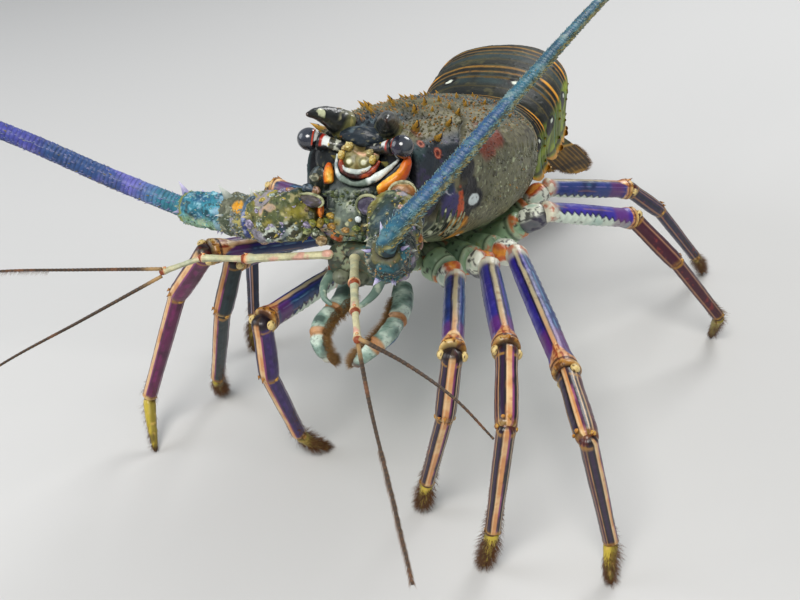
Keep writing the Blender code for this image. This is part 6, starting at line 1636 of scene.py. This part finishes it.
def build_fan():
    along, left, up = tail_axes(52, 18)
    hub = TAIL_END + along * 1.6 - up * 1.0
    TEL = {0.0: 8.5, 0.15: 9.6, 0.45: 9.2, 0.75: 10.2, 0.92: 8.6, 1.0: 4.5}
    URO = {0.0: 3.2, 0.12: 5.4, 0.35: 8.4, 0.65: 10.2, 0.88: 8.2, 1.0: 3.6}
    fringe = []

    def blade(name, root, out, length, widths, thick, order):
        sh = Shell("shell_" + name)
        c, s = math.cos(math.radians(out)), math.sin(math.radians(out))
        d, w = along * c + left * s, left * c - along * s
        nl, nw = 150, 150
        f = np.concatenate([[0, 0.002, 0.006], np.linspace(0.012, 0.985, nl - 8), [0.991, 0.996, 0.9985, 0.9995, 1.0]])
        f = f[:, None]
        half = table(widths, f)
        half = half * np.sqrt(np.clip(1 - (1 - np.clip(f / 0.012, 0, 1)) ** 2, 0.05, 1)) * np.sqrt(np.clip(1 - (1 - np.clip((1 - f) / 0.05, 0, 1)) ** 2.2, 0.02, 1))
        v = TAU * np.arange(nw)[None] / nw
        sv, cv = np.sin(v), np.cos(v)
        x, z = np.sign(sv) * np.abs(sv) ** 0.75, np.sign(cv) * np.abs(cv) ** 0.75
        th = thick * (1 - 0.6 * f) / 2
        hard = 1 - smooth(f + 0.03 * np.cos(x * 3), 0.42, 0.50)
        ribs = 0.16 * np.cos(x * half * 2.6) * smooth(f, 0.42, 0.52) + 0.35 * hard * np.exp(-((x + 0.0 * f) / 0.16) ** 2)
        P = root + d * (length * f)[..., None] - up * (3.0 * f * f)[..., None] + w * (half * x)[..., None] + up * ((th + ribs * (cv > 0)) * z + 1.2 * (1 - x * x))[..., None]
        nz, n2 = fbm(P, 6, 3, 270 + order), fbm(P, 1.8, 2, 271 + order)
        P = P + up * (0.12 * n2 * (cv > 0) * hard)[..., None]
        rib = smooth(np.cos(x * half * 2.6), 0.2, 0.8)
        k = flat(C("4a3a1e"), f.shape[:1] + (nw,)) if False else paint(flat(C("5a4420"), P.shape[:2]), C("8a6a2c"), smooth(nz, -0.1, 0.4) * 0.8)
        k = paint(k, C("2f2c1a"), hard * 0.75)
        k = paint(k, C("6d7a34"), hard * smooth(nz, 0.0, 0.4) * 0.8)
        k = paint(k, C("b5862f"), (1 - hard) * rib * 0.55)
        k = paint(k, C("241a0e"), (1 - hard) * (1 - rib) * 0.4)
        k = paint(k, C("d8a848"), band(f, 0.47, 0.012, 0.02) * np.ones_like(x) * 0.9)
        k = paint(k, C("e9dcae"), hard * smooth(vnoise(P / 2.2, 272), 0.6, 0.72) * 0.8)
        k = paint(k, C("1d1710"), band(f, 0.84, 0.03, 0.03) * np.ones_like(x) * 0.6)
        k = paint(k, C("c99a4a"), smooth(f, 0.95, 0.985) * np.ones_like(x) * 0.8)
        sh.grid(P, k)
        m = 46
        xs, fs = RNG.uniform(-0.7, 0.7, m), RNG.uniform(0.06, 0.42, m)
        B = root + d * (length * fs)[:, None] - up * (3.0 * fs * fs)[:, None] + w * (table(widths, fs) * xs)[:, None] + up * (thick * 0.42 + 1.2 * (1 - xs * xs))[:, None]
        sh.cones(B, [d * 1.0 + up * 0.5] * m, RNG.uniform(0.6, 1.5, m), 0.32, C("6a5a2c"), C("d9a848"), n=7, rings=4)
        sh.make([M_FAN], name)
        # hairs round the far margin
        mm = 1500
        ang = RNG.uniform(-1, 1, mm)
        ff = np.where(np.abs(ang) < 0.45, 0.985, 0.985 - (np.abs(ang) - 0.45) / 0.55 * 0.5)
        xx = np.where(np.abs(ang) < 0.45, ang / 0.45 * 0.9, np.sign(ang) * 0.97)
        hw = table(widths, ff) * np.sqrt(np.clip(1 - (1 - np.clip((1 - ff) / 0.05, 0, 1)) ** 2.2, 0.02, 1))
        B = root + d * (length * ff)[:, None] - up * (3.0 * ff * ff)[:, None] + w * (hw * xx)[:, None] + up * (1.2 * (1 - xx * xx))[:, None]
        out_d = unit(d * (1.0 - 0.5 * (np.abs(xx) > 0.95))[:, None] + w * (xx * 0.6)[:, None] + RNG.normal(0, 0.06, (mm, 3)))
        fringe.append((B, out_d, RNG.uniform(1.6, 2.8, mm), np.stack([(order + 0.1 + 0.8 * (ang + 1) / 2) / 5, ff], 1)))

    blade("telson", hub, 0, 50, TEL, 3.2, 0)
    for n, (s, side) in enumerate(((1, "left"), (-1, "right"))):
        blade(f"uropod_inner_{side}", hub + left * s * 8.0 - up * 4.2, s * 14, 47, URO, 2.4, 1 + n)
        blade(f"uropod_outer_{side}", hub + left * s * 12.0 - up * 7.6, s * 31, 47, URO, 2.4, 3 + n)
    hs = Shell("setae_fan")
    for B, o, ln, uv in fringe:
        hs.hairs(B, o, ln, 0.07, C("5a3c1c"), C("a87c40"), uv)
    hs.make([M_HAIR], ())


build_tail()
build_fan()


# ================================================================== underside, mouth frame, maxillipeds
def build_underside():
    sh = Shell("shell_sternum")
    ys = np.linspace(20, 88, 150)
    half = np.interp(ys, [20, 32, 46, 60, 74, 88], [8, 10.5, 13, 15.5, 17.5, 18.5])
    top = np.interp(ys, [20, 32, 46, 60, 74, 88], [-28, -28.5, -28.5, -28, -26.5, -23])
    low = np.interp(ys, [20, 32, 46, 60, 74, 88], [-36, -38, -38.5, -38, -36, -31])
    th = TAU * np.arange(120) / 120
    sx, cz = np.sign(np.sin(th)) * np.abs(np.sin(th)) ** (2 / 3.2), np.sign(np.cos(th)) * np.abs(np.cos(th)) ** (2 / 3.2)
    X = half[:, None] * sx
    Z = ((top + low) / 2)[:, None] + ((top - low) / 2)[:, None] * cz
    Y = ys[:, None] + 0 * X
    P = np.stack([X, Y, Z], -1)
    n1, n2 = fbm(P, 6, 3, 281), fbm(P, 2, 3, 282)
    seam = np.exp(-((((ys[:, None] - 26 + 0.25 * np.abs(X)) % 13.3) - 6.6) / 0.8) ** 2)
    mid = np.exp(-(X / 0.9) ** 2)
    drop = (cz < 0) * 1.0
    Z = Z + drop * (1.1 * seam + 0.9 * mid + 0.4 * n1)
    c = flat(C("93a884"), X.shape)
    c = paint(c, C("bccaa6"), smooth(n1, 0.0, 0.4) * 0.7)
    c = paint(c, C("5c7466"), smooth(-n1, 0.1, 0.5) * 0.7)
    c = paint(c, C("3a4238"), np.clip(seam + mid, 0, 1) * 0.75)
    c = paint(c, C("b0672f"), smooth(n2 + n1, 0.45, 0.7) * 0.7)
    c = paint(c, C("1c201c"), smooth(vnoise(P / 1.3, 283), 0.6, 0.72) * 0.8)
    sh.grid(body(X, Y, Z), c)
    m = 60
    x, y = RNG.uniform(-0.8, 0.8, m), RNG.uniform(24, 85, m)
    sh.cones(body(x * np.interp(y, ys, half), y, np.interp(y, ys, low) + 0.6), [bdir(0, -0.3, -1)] * m, RNG.uniform(0.6, 1.3, m), 0.5, C("b9c4a4"), C("d9b070"), n=8, rings=3)
    sh.make([M_SOFT], "sternum")

    sh = Shell("shell_mouth_frame")
    ks = [12, 5, -2, -7, -10]
    ys = np.linspace(12, -10, 90)
    g = lambda v: np.interp(-ys, [-k for k in ks], v)
    half, top, low = g([9.0, 11.0, 10.5, 8.5, 5.5]), g([-27.2, -25.0, -22.0, -21.2, -21.8]), g([-36.5, -37.5, -36, -33, -28.5])
    fr = np.linspace(0, 1, 90)
    close = np.sqrt(np.clip(1 - (1 - np.clip((1 - fr) / 0.10, 0, 1)) ** 2, 0.04, 1))
    X = (half * close)[:, None] * np.sign(np.sin(th)) * np.abs(np.sin(th)) ** (2 / 2.5)
    Z = ((top + low) / 2)[:, None] + ((top - low) / 2 * close)[:, None] * np.sign(np.cos(th)) * np.abs(np.cos(th)) ** (2 / 2.5)
    Y = ys[:, None] + 0 * X - 0.8 * (fr[:, None] > 0.9) * (1 - close[:, None])
    P = np.stack([X, Y, Z], -1)
    n1, n2 = fbm(P, 5, 3, 291), fbm(P, 1.8, 3, 292)
    Z = Z + 0.4 * n1 - 1.0 * np.exp(-(X / 0.8) ** 2) * (np.cos(th)[None] < 0) * -1
    c = flat(C("3f4a38"), X.shape)
    c = paint(c, C("6f7c60"), smooth(n1, 0.0, 0.4) * 0.8)
    c = paint(c, C("1a211e"), smooth(-n1 + 0.4 * n2, 0.1, 0.4) * 0.85)
    c = paint(c, C("a9b490"), smooth(n2 - n1, 0.4, 0.55) * 0.6)
    c = paint(c, C("1f5f6a"), smooth(n1 + n2, 0.5, 0.7) * 0.8)
    c = paint(c, C("8a5a2a"), smooth(np.abs(n2), 0.05, 0.0) * 0.5)
    sh.grid(body(X, Y, Z), c)
    # mandibles and palps in front of the mouth, between the maxillipeds
    for s in (1, -1):
        sh.blob(body(s * 3.0, -7.5, -32.5), (3.0, 3.4, 2.6), [bdir(1, 0, 0), bdir(0, 1, 0), bdir(0, 0, 1)], lambda u: paint(flat(C("6a6f5a"), u.shape[:2]), C("2c2a20"), smooth(fbm(u * 6, 3, 3, 31), 0.1, 0.4) * 0.8), n=24, bump=0.12)
        p = bpath([(s * 8.5, -3, -33), (s * 9.0, -8, -36), (s * 7.0, -12, -39), (s * 4.0, -12.5, -41)], 60)
        r = np.linspace(1.9, 0.7, 60)
        tube(sh, p, rounded(np.linspace(0, 1, 60), 16, r), rounded(np.linspace(0, 1, 60), 16, r), marbled(C("6f8a7c"), C("c9d6bc"), 2.5, 0.8, 0.0, 0.4, 33), up=bdir(0, 0, 1), n=30)
        # folds of the cheek beside the mouth, cream on dark
        for q in range(4):
            p = bpath([(s * (10.5 + 1.5 * q), 8 - 3.2 * q * 0.4, -26.5 + 0.4 * q), (s * (13.0 + 1.3 * q), 3 - 1.8 * q, -24.0 + 1.2 * q), (s * (14.5 + 1.3 * q), -2.0 - 0.9 * q, -20.0 + 1.8 * q)], 50)
            r = 1.15 * np.sin(np.linspace(0.25, math.pi - 0.1, 50)) ** 0.5
            tube(sh, p, r, r, marbled(C("3a463c"), C("ccd2b0"), 2.2, 0.9, -0.1, 0.25, 34 + q), up=bdir(0, 0, 1), n=24)
    sh.make([M_SOFT], "mouth_frame")

    hairs = Shell("setae_mouth")
    for s, side in ((1, "left"), (-1, "right")):
        tuck = 1.0 if s > 0 else 0.62
        sh = Shell("shell_maxilliped_" + side)
        path = bpath([(s * 9.5, 13, -38.5), (s * 13 * tuck, 4, -43.5), (s * 14.5 * tuck, -8, -48), (s * 12 * tuck, -15, -52), (s * 7.0 * tuck, -15.5, -57), (s * 4.5, -10, -60)], 200)
        f = np.linspace(0, 1, 200)
        w = np.interp(f, np.linspace(0, 1, 12), [3.2, 3.6, 3.6, 3.4, 3.2, 2.9, 3.1, 2.8, 2.5, 2.2, 1.6, 0.8])
        joints = 1 - 0.20 * np.exp(-((f - 0.40) / 0.012) ** 2) - 0.22 * np.exp(-((f - 0.68) / 0.012) ** 2) - 0.2 * np.exp(-((f - 0.86) / 0.012) ** 2) + 0.08 * np.exp(-((f - 0.385) / 0.02) ** 2) + 0.08 * np.exp(-((f - 0.66) / 0.02) ** 2)
        L = np.linalg.norm(np.diff(path, axis=0), axis=1).sum()

        def col(f, th, P, s_):
            n1, n2 = fbm(P, 4, 3, 301), fbm(P, 1.5, 2, 302)
            k = flat(C("7f9a8c"), f.shape)
            k = paint(k, C("cfe0d0"), smooth(n1, -0.1, 0.3) * 0.85)
            k = paint(k, C("31443e"), smooth(-n1, 0.1, 0.45) * 0.8)
            k = paint(k, C("1d4f8a"), band(np.abs(th), 60, 14, 10) * smooth(f, 0.45, 0.55) * 0.75)
            k = paint(k, C("b8742c"), band(f, 0.40, 0.02, 0.02) * 0.8)
            k = paint(k, C("b8742c"), band(f, 0.68, 0.02, 0.02) * 0.8)
            k = paint(k, C("9a3f2a"), smooth(f, 0.80, 0.95) * 0.7)
            k = paint(k, C("1a2420"), smooth(np.abs(n2), 0.05, 0.0) * 0.6)
            return k
        r = rounded(f, L, w * joints, 1.2)
        P, TH, F, A, B, T = tube(sh, path, r, r * 0.9, col, side=V(1, 0, 0), n=48, power=2.3, disp=lambda f, th, P, s_: 0.15 * fbm(P, 2, 3, 303))
        m = 26
        i = RNG.integers(20, 190, m)
        sh.cones(path[i] + A[i] * s * (-w[i] * 0.9)[:, None], unit(A[i] * -s + T[i] * 0.8), RNG.uniform(0.8, 1.6, m), 0.35, C("8a9a7a"), C("d9b878"), n=8, rings=3)
        sh.make([M_SOFT], "maxilliped_" + side)
        m = 2600
        i = RNG.integers(30, 196, m)
        th = RNG.uniform(-0.75, 0.75, m) + (math.pi / 2 if s < 0 else -math.pi / 2)
        o = A[i] * np.sin(th)[:, None] + B[i] * np.cos(th)[:, None]
        hairs.hairs(path[i] + o * (w[i] * 0.85)[:, None], unit(o + T[i] * 0.5 + RNG.normal(0, 0.15, (m, 3))), RNG.uniform(1.6, 3.4, m), 0.07, C("5a3a1c"), C("a8814a"), np.stack([0.25 * (s > 0) + 0.2 * RNG.random(m), f[i] * 0.95], 1), bend=T[i] * 0.12)
    hairs.make([M_HAIR], ())


build_underside()


# ================================================================== stage, lights, camera
def stage():
    bpy.context.scene.view_settings.view_transform = "Standard"
    m = bpy.data.materials.new("pale_floor")
    m.use_nodes = True
    nt = m.node_tree
    b = nt.nodes["Principled BSDF"]
    b.inputs["Roughness"].default_value = 0.85
    n = nt.nodes.new("ShaderNodeTexNoise")
    n.inputs["Scale"].default_value = 3
    r = nt.nodes.new("ShaderNodeValToRGB")
    r.color_ramp.elements[0].color = (0.60, 0.60, 0.59, 1)
    r.color_ramp.elements[1].color = (0.66, 0.66, 0.65, 1)
    nt.links.new(n.outputs["Fac"], r.inputs["Fac"])
    nt.links.new(r.outputs["Color"], b.inputs["Base Color"])
    mesh = bpy.data.meshes.new("floor")
    s = 4.0
    mesh.from_pydata([(-s, -s, 0), (s, -s, 0), (s, s, 0), (-s, s, 0)], [], [(0, 1, 2, 3)])
    mesh.materials.append(m)
    floor = bpy.data.objects.new("floor", mesh)
    bpy.context.scene.collection.objects.link(floor)
    world = bpy.data.worlds.new("studio")
    world.use_nodes = True
    world.node_tree.nodes["Background"].inputs[0].default_value = (0.92, 0.95, 1.0, 1)
    world.node_tree.nodes["Background"].inputs[1].default_value = 0.38
    bpy.context.scene.world = world

    def area(name, loc, target, size, power, colour=(1, 1, 1)):
        d = bpy.data.lights.new(name, "AREA")
        d.shape, d.size, d.energy, d.color = "DISK", size, power, colour
        o = bpy.data.objects.new(name, d)
        o.location = loc
        o.rotation_euler = (Vector(target) - Vector(loc)).to_track_quat("-Z", "Y").to_euler()
        bpy.context.scene.collection.objects.link(o)

    area("key", (0.25, -0.75, 0.95), (0.14, -0.05, 0.08), 0.5, 9.0, (1.0, 0.97, 0.93))
    area("fill", (-0.75, -0.35, 0.55), (0.1, -0.1, 0.08), 0.7, 3.2, (0.93, 0.96, 1.0))
    area("rim", (0.35, 0.75, 0.75), (0.14, 0.0, 0.1), 0.5, 5.0)

    az, el, roll, f = math.radians(25.2), math.radians(29.8), math.radians(-5.1), 1073.0
    bk = Vector((math.sin(az) * math.cos(el), -math.cos(az) * math.cos(el), math.sin(el)))
    r0 = Vector((math.cos(az), math.sin(az), 0))
    u0 = bk.cross(r0)
    R = math.cos(roll) * r0 + math.sin(roll) * u0
    U = -math.sin(roll) * r0 + math.cos(roll) * u0
    cam = bpy.data.objects.new("camera", bpy.data.cameras.new("camera"))
    bpy.context.scene.collection.objects.link(cam)
    M = Matrix((R, U, bk)).transposed().to_4x4()
    M.translation = Vector(tuple((V(141, -281, 245) + SHIFT) * MM))
    cam.matrix_world = M
    cam.data.sensor_width = 36
    cam.data.lens = 36 * f / 800
    cam.data.clip_start = 0.005
    bpy.context.scene.camera = cam


stage()
